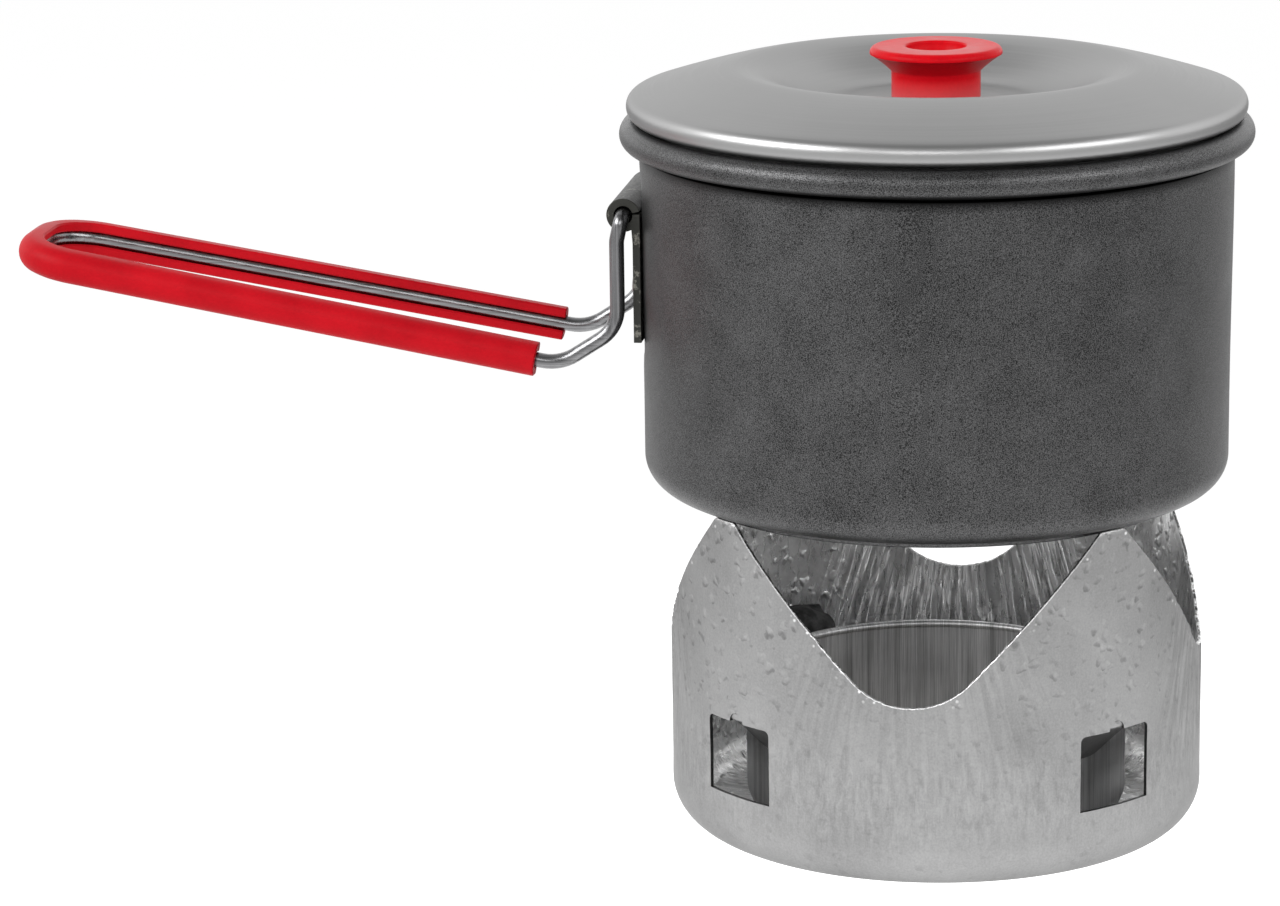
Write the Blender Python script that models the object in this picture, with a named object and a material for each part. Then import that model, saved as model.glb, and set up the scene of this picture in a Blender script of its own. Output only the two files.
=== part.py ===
"""Storm cooker: a notched windshield with a burner cup, and a lidded pot with a folding wire handle.

Metres, +Z up. The origin is the middle of the windshield's flat underside. The handle points along -X
and the open front of the stand faces -Y. Azimuths are in degrees from -Y, positive towards +X.
"""

import math

import bmesh
import bpy
from mathutils import Vector

MM = 0.001
GAP = 0.3 * MM  # clearance between pieces that touch
TURN = 2.0 * math.pi
UP = Vector((0.0, 0.0, 1.0))

# Windshield
SHIELD_INSET = 5.0 * MM  # how far the windshield's wall stands inside the pot's
SHIELD_HEIGHT = 73.1 * MM
SHIELD_SHEET = 0.8 * MM
SHIELD_CORNER = 9.25 * MM
NOTCH_COUNT = 4
NOTCH_FLOOR = 39.4 * MM  # lowest point of a notch above the ground
NOTCH_ROUND = 17.4 * MM  # radius of the notch's rounded bottom
PEAK_WIDTH = 6.15 * MM  # flat top of each peak between two notches, along the wall
HOLE_AZIMUTHS = (-41.5, 46.5, 137.5, 222.5)
HOLE_WIDTH = 18.4 * MM
HOLE_HEIGHT = 16.0 * MM
HOLE_TOP = 30.9 * MM
HOLE_CORNER = 1.2 * MM
HOLE_RELIEF = 2.0 * MM  # radius of the small relief in the middle of a hole's top edge
TAB_WIDTH = 17.6 * MM
TAB_DROP = 11.0 * MM
TAB_CURVE = 1.4  # 1 makes a tab flat, more bends it down towards its tip
TAB_STEPS = 8
TAB_CORNER = 2.2 * MM  # how far a tab's free corners are rounded in from its sides
TAB_CORNER_SHARE = 0.8  # share of a tab's length where that rounding begins
CURLED_TAB = 3  # the one tab that is rolled up and over before it hangs
CURL_RADIUS = 3.2 * MM
CURL_HANG = 7.0 * MM

# Burner
CUP_RADIUS = 40.2 * MM
CUP_HEIGHT = 29.9 * MM
CUP_SHEET = 0.8 * MM
CUP_CORNER = 6.5 * MM
CUP_RIM = 0.9 * MM  # radius of the rolled rim's section
PAD_THICKNESS = 5.0 * MM
GRID_SHEET = 0.8 * MM
GRID_HOLE = 2.6 * MM
GRID_RINGS = ((0.0, 1), (12.0 * MM, 6), (24.0 * MM, 12))  # ring radius and number of holes

# Pot
POT_RADIUS = 61.0 * MM
POT_HEIGHT = 77.7 * MM  # from the annulus that rests on the peaks to the top of the rim
POT_SHEET = 1.2 * MM
POT_CORNER = 7.0 * MM
POT_STEP_CLEARANCE = 1.6 * MM  # between the step in the pot's base and the windshield's wall
POT_STEP_DEPTH = 1.3 * MM
POT_STEP_RUN = 1.0 * MM
RIM_OVERHANG = 4.5 * MM
RIM_ABOVE = 3.7 * MM  # the rolled rim's section is an egg: taller above its widest point than below it
RIM_BELOW = 2.8 * MM
RIM_STEPS = 10

# Handle bracket and its rivets
SEAT_DEPTH = 1.6 * MM  # how far the pot's wall is pressed flat behind the bracket
SEAT_BLEND = 5.0 * MM
PLATE_WIDTH = 32.0 * MM
PLATE_SHEET = 1.6 * MM
PLATE_DROP = 26.9 * MM  # from the hinge axis down to the plate's lower edge
HINGE_BELOW_RIM = 19.7 * MM
RIVET_SPACING = 18.0 * MM
RIVET_DROP = 16.0 * MM
RIVET_SHANK = 1.5 * MM
RIVET_HEAD = 3.0 * MM
RIVET_HEAD_HEIGHT = 0.9 * MM

# Handle
WIRE_RADIUS = 1.55 * MM
KNUCKLE_CLEARANCE = 0.35 * MM
SEAM_ANGLE = 176.0  # degrees round the knuckle from its outer side over the top
SEAM_WIDTH = 9.0
STUB_LENGTH = 9.0 * MM
STUB_BEND = 2.0 * MM
LEG_SPACING = 36.0 * MM
LEG_OFFSET = 1.1 * MM  # the legs stand this much further out than the hinge axis
LEG_START_DROP = 5.0 * MM  # how far below the axis they have reached that offset
LEG_START_BEND = 4.0 * MM
LEG_DROP = 23.4 * MM
LEG_BEND = 8.0 * MM
KNEE_RUN = 13.3 * MM
KNEE_DROP = 31.27 * MM
KNEE_BEND = 10.0 * MM
ARM_RUN = 128.6 * MM  # from the hinge axis out to the loop's end
ARM_SLOPE = math.radians(9.8)
TIP_SPACING = 29.2 * MM  # between the arms at the loop's end, which is narrower than its start
LOOP_BEND = 11.0 * MM
GRIP_START = 18.3 * MM
GRIP_HEIGHT = 7.0 * MM
GRIP_OUTER = 3.4 * MM
GRIP_LIP = 1.7 * MM
GRIP_MOUTH = 2.9 * MM
GRIP_ROUND = 2.6 * MM

# Lid and knob
LID_SHEET = 1.0 * MM
LID_OVERHANG = 3.0 * MM  # how far the lid's edge stands outside the pot's wall
LID_CURL = 2.15 * MM  # outer radius of the turned-down edge
LID_CREST_RADIUS = 42.0 * MM
LID_CREST_RISE = 5.2 * MM
LID_CREST_BEND = 1.25  # 1 makes the ring between the edge and the crest a cone, more rounds it
DISH_DEPTH = 7.1 * MM
DISH_FLOOR_RADIUS = 20.0 * MM
LIP_CLEARANCE = 0.6 * MM
LIP_DEPTH = 3.0 * MM
KNOB_RADIUS = 13.7 * MM
KNOB_STEM = 9.2 * MM
KNOB_HEIGHT = 10.8 * MM
KNOB_EDGE = 1.0 * MM
KNOB_CONE = 4.1 * MM
KNOB_RECESS = 6.2 * MM
KNOB_RECESS_DEPTH = 3.8 * MM
INSERT_RADIUS = 3.4 * MM
INSERT_LENGTH = 5.0 * MM
SCREW_SHANK = 1.5 * MM
SCREW_HEAD = 3.0 * MM
SCREW_HEAD_HEIGHT = 1.8 * MM
WASHER_RADIUS = 6.0 * MM
WASHER_SHEET = 1.0 * MM

# Sizes and places that follow from the ones above
SHIELD_RADIUS = POT_RADIUS - SHIELD_INSET
POT_STEP_RADIUS = SHIELD_RADIUS - SHIELD_SHEET - POT_STEP_CLEARANCE - POT_STEP_RUN
LID_RADIUS = POT_RADIUS + LID_OVERHANG
NOTCH_HALF_WIDTH = (TURN * SHIELD_RADIUS / NOTCH_COUNT - PEAK_WIDTH) / 2.0
NOTCH_RISE = SHIELD_HEIGHT - NOTCH_FLOOR - NOTCH_ROUND
NOTCH_SLOPE = math.atan2(NOTCH_RISE, NOTCH_HALF_WIDTH)
NOTCH_SLOPE += math.asin(NOTCH_ROUND / math.hypot(NOTCH_HALF_WIDTH, NOTCH_RISE))
NOTCH_APEX = NOTCH_FLOOR - NOTCH_ROUND * (1.0 / math.cos(NOTCH_SLOPE) - 1.0)
SEAT_Z = SHIELD_HEIGHT + GAP  # underside of the pot's annulus, which rests on the peaks
RIM_TOP = SEAT_Z + POT_HEIGHT
RIM_CENTRE_Z = RIM_TOP - RIM_ABOVE
POT_INSIDE = POT_RADIUS - POT_SHEET
RIM_HALF_WIDTH = (RIM_OVERHANG + POT_SHEET) / 2.0
RIM_CENTRE_R = POT_INSIDE + RIM_HALF_WIDTH
SEAT_X = POT_RADIUS - SEAT_DEPTH
PLATE_INNER = SEAT_X + GAP
KNUCKLE_INSIDE = WIRE_RADIUS + KNUCKLE_CLEARANCE
KNUCKLE_RADIUS = KNUCKLE_INSIDE + PLATE_SHEET
HINGE_X = PLATE_INNER + KNUCKLE_RADIUS
HINGE_Z = RIM_TOP - HINGE_BELOW_RIM
LID_Z = RIM_TOP + GAP  # underside of the lid's turned-down edge, which rests on the rim
LID_EDGE_TOP = LID_Z + 2.0 * LID_CURL
CREST_Z = LID_EDGE_TOP + LID_CREST_RISE
DISH_Z = CREST_Z - DISH_DEPTH
KNOB_Z = DISH_Z + GAP
CUP_Z = SHIELD_SHEET + GAP
CUP_REACH = CUP_RADIUS - CUP_SHEET / 2.0 + CUP_RIM  # radius that the tabs leave free
PAD_Z = CUP_Z + CUP_SHEET + GAP
GRID_Z = PAD_Z + PAD_THICKNESS + GAP


def clear_scene():
    for obj in list(bpy.data.objects):
        bpy.data.objects.remove(obj, do_unlink=True)


def material(name, colour, roughness, metallic):
    made = bpy.data.materials.new(name)
    made.use_nodes = True
    shader = made.node_tree.nodes["Principled BSDF"]
    shader.inputs["Base Color"].default_value = (*colour, 1.0)
    shader.inputs["Roughness"].default_value = roughness
    shader.inputs["Metallic"].default_value = metallic
    return made


def add_object(name, mesh, look, sharp_degrees=30.0):
    obj = bpy.data.objects.new(name, mesh)
    bpy.context.scene.collection.objects.link(obj)
    mesh.materials.append(look)
    mesh.shade_smooth()
    mesh.set_sharp_from_angle(angle=math.radians(sharp_degrees))
    return obj


def mesh_from(name, build):
    """A mesh filled by build(bm), with its normals facing out."""
    bm = bmesh.new()
    build(bm)
    bmesh.ops.recalc_face_normals(bm, faces=bm.faces)
    mesh = bpy.data.meshes.new(name)
    bm.to_mesh(mesh)
    bm.free()
    return mesh


def arc(centre, radius, start, end, steps):
    """Points of an arc in a section plane, angles in degrees from the plane's first axis."""
    points = []
    for i in range(steps + 1):
        angle = math.radians(start + (end - start) * i / steps)
        points.append((centre[0] + radius * math.cos(angle), centre[1] + radius * math.sin(angle)))
    return points


def smooth_step(value):
    value = min(max(value, 0.0), 1.0)
    return value * value * (3.0 - 2.0 * value)


def thick_section(path, sheet):
    """The closed outline of a sheet that lies to the left of an open path."""
    far_side = []
    for i, point in enumerate(path):
        before = Vector(path[max(i - 1, 0)])
        after = Vector(path[min(i + 1, len(path) - 1)])
        here = Vector(point)
        into = (here - before).normalized() if i > 0 else (after - here).normalized()
        out = (after - here).normalized() if i < len(path) - 1 else into
        normal = Vector((-(into + out).y, (into + out).x)).normalized()
        stretch = 1.0 / max(normal.dot(Vector((-into.y, into.x))), 0.5)
        far_side.append(tuple(here + normal * sheet * stretch))
    return list(path) + far_side[::-1]


def lathe(section, steps, place=None):
    """Turns a closed outline of (radius, height) points round Z. Points on the axis are shared.

    place(x, y, z) may move each finished point.
    """

    def build(bm):
        rings = []
        for radius, height in section:
            if radius < 1e-7:
                rings.append([bm.verts.new((0.0, 0.0, height))] * steps)
                continue
            ring = []
            for i in range(steps):
                angle = TURN * i / steps
                point = (radius * math.sin(angle), -radius * math.cos(angle), height)
                ring.append(bm.verts.new(place(*point) if place else point))
            rings.append(ring)
        for k, ring in enumerate(rings):
            following = rings[(k + 1) % len(rings)]
            for i in range(steps):
                j = (i + 1) % steps
                corners = [ring[i], ring[j], following[j], following[i]]
                unique = list(dict.fromkeys(corners))
                if len(unique) > 2:
                    bm.faces.new(unique)

    return build


def sweep(section, stations):
    """Carries a closed (side, up) outline through stations of (origin, side, up), with flat ends."""

    def build(bm):
        rings = []
        for origin, side, up in stations:
            rings.append([bm.verts.new(origin + side * s + up * u) for s, u in section])
        for first, second in zip(rings, rings[1:]):
            for k in range(len(section)):
                following = (k + 1) % len(section)
                bm.faces.new((first[k], first[following], second[following], second[k]))
        bm.faces.new(rings[0])
        bm.faces.new(rings[-1])

    return build


def cutter(name, mesh):
    obj = bpy.data.objects.new(name, mesh)
    bpy.context.scene.collection.objects.link(obj)
    obj.hide_render = True
    obj.display_type = "WIRE"
    return obj


def boolean(target, tool, operation):
    modifier = target.modifiers.new(f"{operation.lower()} {tool.name}", "BOOLEAN")
    modifier.operation = operation
    modifier.solver = "EXACT"
    modifier.object = tool


def cylinder_mesh(name, radius, start, end, sides):
    """A closed cylinder from start to end."""
    axis = (end - start).normalized()
    side = axis.orthogonal().normalized()
    up = axis.cross(side)
    ring = arc((0.0, 0.0), radius, 0.0, 360.0 * (sides - 1) / sides, sides - 1)
    return mesh_from(name, sweep(ring, ((start, side, up), (end, side, up))))


def rounded(vertices, steps_for):
    """A path through corner vertices of (point, radius), with each corner turned into an arc."""
    points = [vertices[0][0]]
    for i in range(1, len(vertices) - 1):
        corner, radius = vertices[i]
        back = (vertices[i - 1][0] - corner).normalized()
        ahead = (vertices[i + 1][0] - corner).normalized()
        half = back.angle(ahead) / 2.0
        if radius <= 0.0:
            points.append(corner)
            continue
        reach = radius / math.tan(half)
        centre = corner + (back + ahead).normalized() * (radius / math.sin(half))
        first = corner + back * reach - centre
        last = corner + ahead * reach - centre
        steps = steps_for(math.pi - 2.0 * half)
        for k in range(steps + 1):
            points.append(centre + first.slerp(last, k / steps) * radius)
    points.append(vertices[-1][0])
    return points


# Windshield


def notch_edge(along):
    """Height of the windshield's edge at this arc length from the middle of a notch."""
    round_end = NOTCH_ROUND * math.sin(NOTCH_SLOPE)
    along = abs(along)
    if along < round_end:
        return NOTCH_FLOOR + NOTCH_ROUND - math.sqrt(NOTCH_ROUND**2 - along**2)
    return min(NOTCH_APEX + along * math.tan(NOTCH_SLOPE), SHIELD_HEIGHT)


def shield_azimuths():
    """Column azimuths in radians: even steps up a notch's side, with a column at each corner of a peak."""
    quarter = TURN / NOTCH_COUNT
    corner = NOTCH_HALF_WIDTH / SHIELD_RADIUS
    steps = 13
    one_side = [corner * i / steps for i in range(steps + 1)]
    azimuths = []
    for k in range(NOTCH_COUNT):
        middle = quarter * k
        azimuths += [middle + a for a in one_side]
        azimuths += [middle + quarter - a for a in one_side[:0:-1]]
    return azimuths


def shield_body(bm):
    """The drawn cup as a closed shell whose top edge follows the notches."""
    inside = SHIELD_RADIUS - SHIELD_SHEET
    inner_corner = SHIELD_CORNER - SHIELD_SHEET
    base = SHIELD_RADIUS - SHIELD_CORNER
    outer = arc((base, SHIELD_CORNER), SHIELD_CORNER, -90.0, 0.0, 5)
    inner = arc((base, SHIELD_CORNER), inner_corner, 0.0, -90.0, 5)
    azimuths = shield_azimuths()
    quarter = TURN / NOTCH_COUNT
    columns = []
    for azimuth in azimuths:
        within = (azimuth + quarter / 2.0) % quarter - quarter / 2.0
        top = notch_edge(within * SHIELD_RADIUS)
        section = outer + [(SHIELD_RADIUS, top), (inside, top)] + inner
        east = math.sin(azimuth)
        north = -math.cos(azimuth)
        columns.append([bm.verts.new((r * east, r * north, z)) for r, z in section])
    under = bm.verts.new((0.0, 0.0, 0.0))
    floor = bm.verts.new((0.0, 0.0, SHIELD_SHEET))
    for i, column in enumerate(columns):
        following = columns[(i + 1) % len(columns)]
        for k in range(len(column) - 1):
            bm.faces.new((column[k], following[k], following[k + 1], column[k + 1]))
        bm.faces.new((under, following[0], column[0]))
        bm.faces.new((floor, column[-1], following[-1]))


def frame_at(azimuth_degrees):
    """Unit vectors at an azimuth: outward, and to the right as seen from outside."""
    angle = math.radians(azimuth_degrees)
    outward = Vector((math.sin(angle), -math.cos(angle), 0.0))
    right = Vector((math.cos(angle), math.sin(angle), 0.0))
    return outward, right


def joined_mesh(name, parts):
    """One mesh that holds several closed bodies, for one Boolean."""
    bm = bmesh.new()
    for part in parts:
        bm.from_mesh(part)
    mesh = bpy.data.meshes.new(name)
    bm.to_mesh(mesh)
    bm.free()
    return mesh


def hole_mesh(azimuth):
    """A box with two rounded upper corners, through the wall at this azimuth."""
    outward, right = frame_at(azimuth)
    half = HOLE_WIDTH / 2.0
    low = HOLE_TOP - HOLE_HEIGHT
    bend = HOLE_CORNER
    outline = [(-half, low), (half, low)]
    outline += arc((half - bend, HOLE_TOP - bend), bend, 0.0, 90.0, 3)
    outline += arc((bend - half, HOLE_TOP - bend), bend, 90.0, 180.0, 3)
    near = outward * (SHIELD_RADIUS - 8.0 * SHIELD_SHEET)
    far = outward * (SHIELD_RADIUS + 3.0 * SHIELD_SHEET)
    return mesh_from("hole", sweep(outline, ((near, right, UP), (far, right, UP))))


def relief_mesh(azimuth):
    """The round relief in the middle of the fold between the wall and a tab."""
    outward, _ = frame_at(azimuth)
    level = Vector((0.0, 0.0, HOLE_TOP))
    near = outward * (SHIELD_RADIUS - SHIELD_SHEET - HOLE_RELIEF) + level
    far = outward * (SHIELD_RADIUS + 3.0 * SHIELD_SHEET) + level
    return cylinder_mesh("relief", HOLE_RELIEF, near, far, 16)


def tab_path(curled):
    """Centre line of a tab in the radial plane, from inside the wall towards the burner cup."""
    root = Vector((SHIELD_RADIUS - SHIELD_SHEET / 2.0, HOLE_TOP + SHIELD_SHEET))
    if curled:
        lift = math.asin(SHIELD_SHEET / CURL_RADIUS)
        centre = root - Vector((math.cos(lift), math.sin(lift))) * CURL_RADIUS
        points = [Vector(p) for p in arc(centre, CURL_RADIUS, math.degrees(lift), 180.0, TAB_STEPS - 1)]
        return points + [points[-1] - Vector((0.0, CURL_HANG))]
    reach = root.x - CUP_REACH - GAP
    points = []
    for i in range(TAB_STEPS + 1):
        share = i / TAB_STEPS
        points.append(Vector((root.x - reach * share, root.y - TAB_DROP * share**TAB_CURVE)))
    return points


def tab_mesh(azimuth, curled):
    """The hole's flap, bent inward from the hole's top edge, with its free corners rounded."""
    outward, right = frame_at(azimuth)
    path = tab_path(curled)
    half_sheet = SHIELD_SHEET / 2.0

    def build(bm):
        rings = []
        for i, point in enumerate(path):
            before = path[max(i - 1, 0)]
            after = path[min(i + 1, TAB_STEPS)]
            along = (after - before).normalized()
            normal = Vector((-along.y, along.x)) * half_sheet
            end_share = max(i / TAB_STEPS - TAB_CORNER_SHARE, 0.0) / (1.0 - TAB_CORNER_SHARE)
            half = TAB_WIDTH / 2.0 - TAB_CORNER * (1.0 - math.sqrt(1.0 - (0.97 * end_share) ** 2))
            ring = []
            for side, sign in ((-half, 1.0), (half, 1.0), (half, -1.0), (-half, -1.0)):
                spot = point + normal * sign
                ring.append(bm.verts.new(outward * spot.x + right * side + UP * spot.y))
            rings.append(ring)
        for first, second in zip(rings, rings[1:]):
            for k in range(4):
                following = (k + 1) % 4
                bm.faces.new((first[k], first[following], second[following], second[k]))
        bm.faces.new(rings[0])
        bm.faces.new(rings[-1])

    return mesh_from("tab", build)


def make_windshield(look):
    shield = add_object("windshield", mesh_from("windshield", shield_body), look)
    holes = joined_mesh("holes", [hole_mesh(a) for a in HOLE_AZIMUTHS])
    tabs = joined_mesh("tabs", [tab_mesh(a, i == CURLED_TAB) for i, a in enumerate(HOLE_AZIMUTHS)])
    reliefs = joined_mesh("reliefs", [relief_mesh(a) for a in HOLE_AZIMUTHS])
    boolean(shield, cutter("shield_holes", holes), "DIFFERENCE")
    boolean(shield, cutter("shield_tabs", tabs), "UNION")
    boolean(shield, cutter("shield_reliefs", reliefs), "DIFFERENCE")
    return shield


# Burner


def cup_section():
    """The cup's sheet from the middle of its floor out, up its wall and round its rolled rim."""
    corner = arc((CUP_RADIUS - CUP_CORNER, CUP_Z + CUP_CORNER), CUP_CORNER, -90.0, 0.0, 5)
    rim_centre = (CUP_RADIUS - CUP_SHEET / 2.0, CUP_Z + CUP_HEIGHT - CUP_RIM)
    roll = arc(rim_centre, CUP_RIM, -60.0, 240.0, 7)
    inner_corner = arc((CUP_RADIUS - CUP_CORNER, CUP_Z + CUP_CORNER), CUP_CORNER - CUP_SHEET, 0.0, -90.0, 5)
    return [(0.0, CUP_Z)] + corner + roll + inner_corner + [(0.0, CUP_Z + CUP_SHEET)]


def make_burner(cup_look, pad_look, grid_look):
    cup = add_object("burner_cup", mesh_from("burner_cup", lathe(cup_section(), 56)), cup_look)
    inner = CUP_CORNER - CUP_SHEET - GAP
    centre = (CUP_RADIUS - CUP_CORNER, PAD_Z + inner)
    side = [p for p in arc(centre, inner, -90.0, 0.0, 5) if p[1] < PAD_Z + PAD_THICKNESS]
    edge = side[-1][0]
    pad_section = [(0.0, PAD_Z)] + side + [(edge, PAD_Z + PAD_THICKNESS), (0.0, PAD_Z + PAD_THICKNESS)]
    pad = add_object("fuel_pad", mesh_from("fuel_pad", lathe(pad_section, 36)), pad_look)
    grid_section = [(0.0, GRID_Z), (edge, GRID_Z), (edge, GRID_Z + GRID_SHEET), (0.0, GRID_Z + GRID_SHEET)]
    grid = add_object("pad_grid", mesh_from("pad_grid", lathe(grid_section, 36)), grid_look)
    holes = []
    for ring_radius, count in GRID_RINGS:
        for i in range(count):
            outward, _ = frame_at(360.0 * i / count)
            low = outward * ring_radius + UP * (GRID_Z - GRID_SHEET)
            holes.append(cylinder_mesh("grid_hole", GRID_HOLE, low, low + UP * 3.0 * GRID_SHEET, 12))
    boolean(grid, cutter("grid_holes", joined_mesh("grid_holes", holes)), "DIFFERENCE")
    return cup, pad, grid


# Pot


def press_seat(x, y, z):
    """Presses the wall flat behind the bracket, on the handle's side."""
    low = HINGE_Z - PLATE_DROP
    high = HINGE_Z + KNUCKLE_RADIUS
    strength = smooth_step((z - low) / SEAT_BLEND + 1.0) * smooth_step((high - z) / SEAT_BLEND + 1.0)
    outside = math.hypot(x, y) > POT_RADIUS - POT_SHEET / 2.0
    limit = SEAT_X if outside else SEAT_X - POT_SHEET
    excess = max(-x - limit, 0.0)
    return x + strength * excess, y, z


def wall_rows(radius, low, high):
    """Points up a straight wall, with extra rows where the bracket's seat begins and ends."""
    seat_low = HINGE_Z - PLATE_DROP
    seat_high = HINGE_Z + KNUCKLE_RADIUS
    rows = [seat_low - SEAT_BLEND, seat_low - SEAT_BLEND / 2.0, seat_low]
    rows += [seat_high, seat_high + SEAT_BLEND / 2.0, seat_high + SEAT_BLEND]
    return [(radius, z) for z in rows if low < z < high]


def pot_section():
    step_low = SEAT_Z - POT_STEP_DEPTH
    centre = (POT_RADIUS - POT_CORNER, SEAT_Z + POT_CORNER)
    outer = [(0.0, step_low), (POT_STEP_RADIUS - 0.6 * MM, step_low), (POT_STEP_RADIUS, step_low + 0.6 * MM)]
    outer += [(POT_STEP_RADIUS + POT_STEP_RUN, SEAT_Z)]
    outer += arc(centre, POT_CORNER, -90.0, 0.0, 5)
    outer += wall_rows(POT_RADIUS, SEAT_Z + POT_CORNER, RIM_CENTRE_Z - RIM_BELOW)
    start = -math.acos((POT_RADIUS - RIM_CENTRE_R) / RIM_HALF_WIDTH)
    rim = []
    for i in range(RIM_STEPS + 1):
        angle = start + (math.pi - start) * i / RIM_STEPS
        rise = (RIM_ABOVE if angle > 0.0 else RIM_BELOW) * math.sin(angle)
        rim.append((RIM_CENTRE_R + RIM_HALF_WIDTH * math.cos(angle), RIM_CENTRE_Z + rise))
    inner_wall = wall_rows(POT_INSIDE, SEAT_Z + POT_CORNER, RIM_CENTRE_Z)[::-1]
    inner = arc(centre, POT_CORNER - POT_SHEET, 0.0, -90.0, 5)
    inner += [(POT_STEP_RADIUS + POT_STEP_RUN - 0.4 * MM, SEAT_Z + POT_SHEET)]
    inner += [(POT_STEP_RADIUS - 0.8 * MM, step_low + POT_SHEET), (0.0, step_low + POT_SHEET)]
    return outer + rim + inner_wall + inner


def rivet_spots():
    z = HINGE_Z - RIVET_DROP
    return (("bracket_rivet_left", -RIVET_SPACING / 2.0, z), ("bracket_rivet_right", RIVET_SPACING / 2.0, z))


def rivet_hole_cutter():
    """One cutter for the rivet holes through the bracket and the pot's wall."""
    holes = []
    for _, y, z in rivet_spots():
        start = Vector((-SEAT_X + 4.0 * POT_SHEET, y, z))
        end = Vector((-HINGE_X, y, z))
        holes.append(cylinder_mesh("rivet_hole", RIVET_SHANK + GAP, start, end, 16))
    return cutter("rivet_holes", joined_mesh("rivet_holes", holes))


def make_pot(look, holes):
    pot = add_object("pot", mesh_from("pot", lathe(pot_section(), 64, press_seat)), look)
    boolean(pot, holes, "DIFFERENCE")
    return pot


# Handle bracket


def bracket_section():
    """The plate and its knuckle as (outward, up) points.

    The sheet turns outward under the wire, runs over it and comes back down to the plate's top, with a seam.
    """
    centre = (HINGE_X, HINGE_Z)
    low = HINGE_Z - PLATE_DROP
    join = -math.degrees(math.acos((PLATE_SHEET - KNUCKLE_RADIUS) / KNUCKLE_RADIUS))
    outside = arc(centre, KNUCKLE_RADIUS, join, SEAM_ANGLE - SEAM_WIDTH, 20)
    bore = arc(centre, KNUCKLE_INSIDE, SEAM_ANGLE - SEAM_WIDTH, SEAM_ANGLE - 360.0, 24)
    top = arc(centre, KNUCKLE_RADIUS, SEAM_ANGLE, SEAM_ANGLE, 1)[:1]
    return [(PLATE_INNER + PLATE_SHEET, low)] + outside + bore + top + [(PLATE_INNER, low)]


def make_bracket(look, holes):
    out = Vector((-1.0, 0.0, 0.0))
    half = PLATE_WIDTH / 2.0
    stations = ((Vector((0.0, -half, 0.0)), out, UP), (Vector((0.0, half, 0.0)), out, UP))
    plate = mesh_from("handle_bracket", sweep(bracket_section(), stations))
    bracket = add_object("handle_bracket", plate, look)
    boolean(bracket, holes, "DIFFERENCE")
    return bracket


def turned_along_x(section, steps, y, z):
    """A closed outline of (radius, outward) points turned round an axis along -X through (y, z)."""

    def build(bm):
        lathe(section, steps)(bm)
        for vert in bm.verts:
            side, back, height = vert.co
            vert.co = Vector((-height, y + side, z + back))

    return build


def make_rivets(look):
    outer = PLATE_INNER + PLATE_SHEET + GAP
    inner = SEAT_X - POT_SHEET - GAP
    crown = RIVET_HEAD * 0.62
    section = [
        (0.0, inner - RIVET_HEAD_HEIGHT),
        (crown, inner - RIVET_HEAD_HEIGHT),
        (RIVET_HEAD, inner - RIVET_HEAD_HEIGHT * 0.35),
        (RIVET_HEAD, inner),
        (RIVET_SHANK, inner),
        (RIVET_SHANK, outer),
        (RIVET_HEAD, outer),
        (RIVET_HEAD, outer + RIVET_HEAD_HEIGHT * 0.35),
        (crown, outer + RIVET_HEAD_HEIGHT),
        (0.0, outer + RIVET_HEAD_HEIGHT),
    ]
    for name, y, z in rivet_spots():
        add_object(name, mesh_from(name, turned_along_x(section, 16, y, z)), look)


# Handle


def handle_side():
    """Corner points of one leg and arm as (outward, up), measured from the hinge axis."""
    knee = (KNEE_RUN, -KNEE_DROP)
    arm_end = (ARM_RUN, -KNEE_DROP + (ARM_RUN - KNEE_RUN) * math.tan(ARM_SLOPE))
    leg_end = (LEG_OFFSET, -LEG_DROP)
    leg_start = (LEG_OFFSET, -LEG_START_DROP)
    return leg_start, leg_end, knee, arm_end


def from_hinge(outward, side, up):
    """A point in the handle body's own frame, whose origin is the middle of the hinge axis."""
    return Vector((-outward, side, up))


def handle_path():
    """Centre line of the whole wire, from one stub in the knuckle to the other."""
    leg_start, leg_end, knee, arm_end = handle_side()
    half = LEG_SPACING / 2.0
    one = [
        (from_hinge(0.0, -half + STUB_LENGTH + STUB_BEND, 0.0), 0.0),
        (from_hinge(0.0, -half, 0.0), STUB_BEND),
        (from_hinge(leg_start[0], -half, leg_start[1]), LEG_START_BEND),
        (from_hinge(leg_end[0], -half, leg_end[1]), LEG_BEND),
        (from_hinge(knee[0], -half, knee[1]), KNEE_BEND),
        (from_hinge(arm_end[0], -TIP_SPACING / 2.0, arm_end[1]), LOOP_BEND),
    ]
    other = [(Vector((p.x, -p.y, p.z)), radius) for p, radius in reversed(one)]
    return rounded(one + other, lambda turn: max(2, round(math.degrees(turn) / 13.0)))


def make_wire(look, hinge):
    curve = bpy.data.curves.new("handle_wire", "CURVE")
    curve.dimensions = "3D"
    curve.bevel_depth = WIRE_RADIUS
    curve.bevel_resolution = 2
    curve.use_fill_caps = True
    points = handle_path()
    spline = curve.splines.new("POLY")
    spline.points.add(len(points) - 1)
    for spot, point in zip(spline.points, points):
        spot.co = (*point, 1.0)
    curve.materials.append(look)
    wire = bpy.data.objects.new("handle_wire", curve)
    bpy.context.scene.collection.objects.link(wire)
    wire.parent = hinge
    return wire


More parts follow.
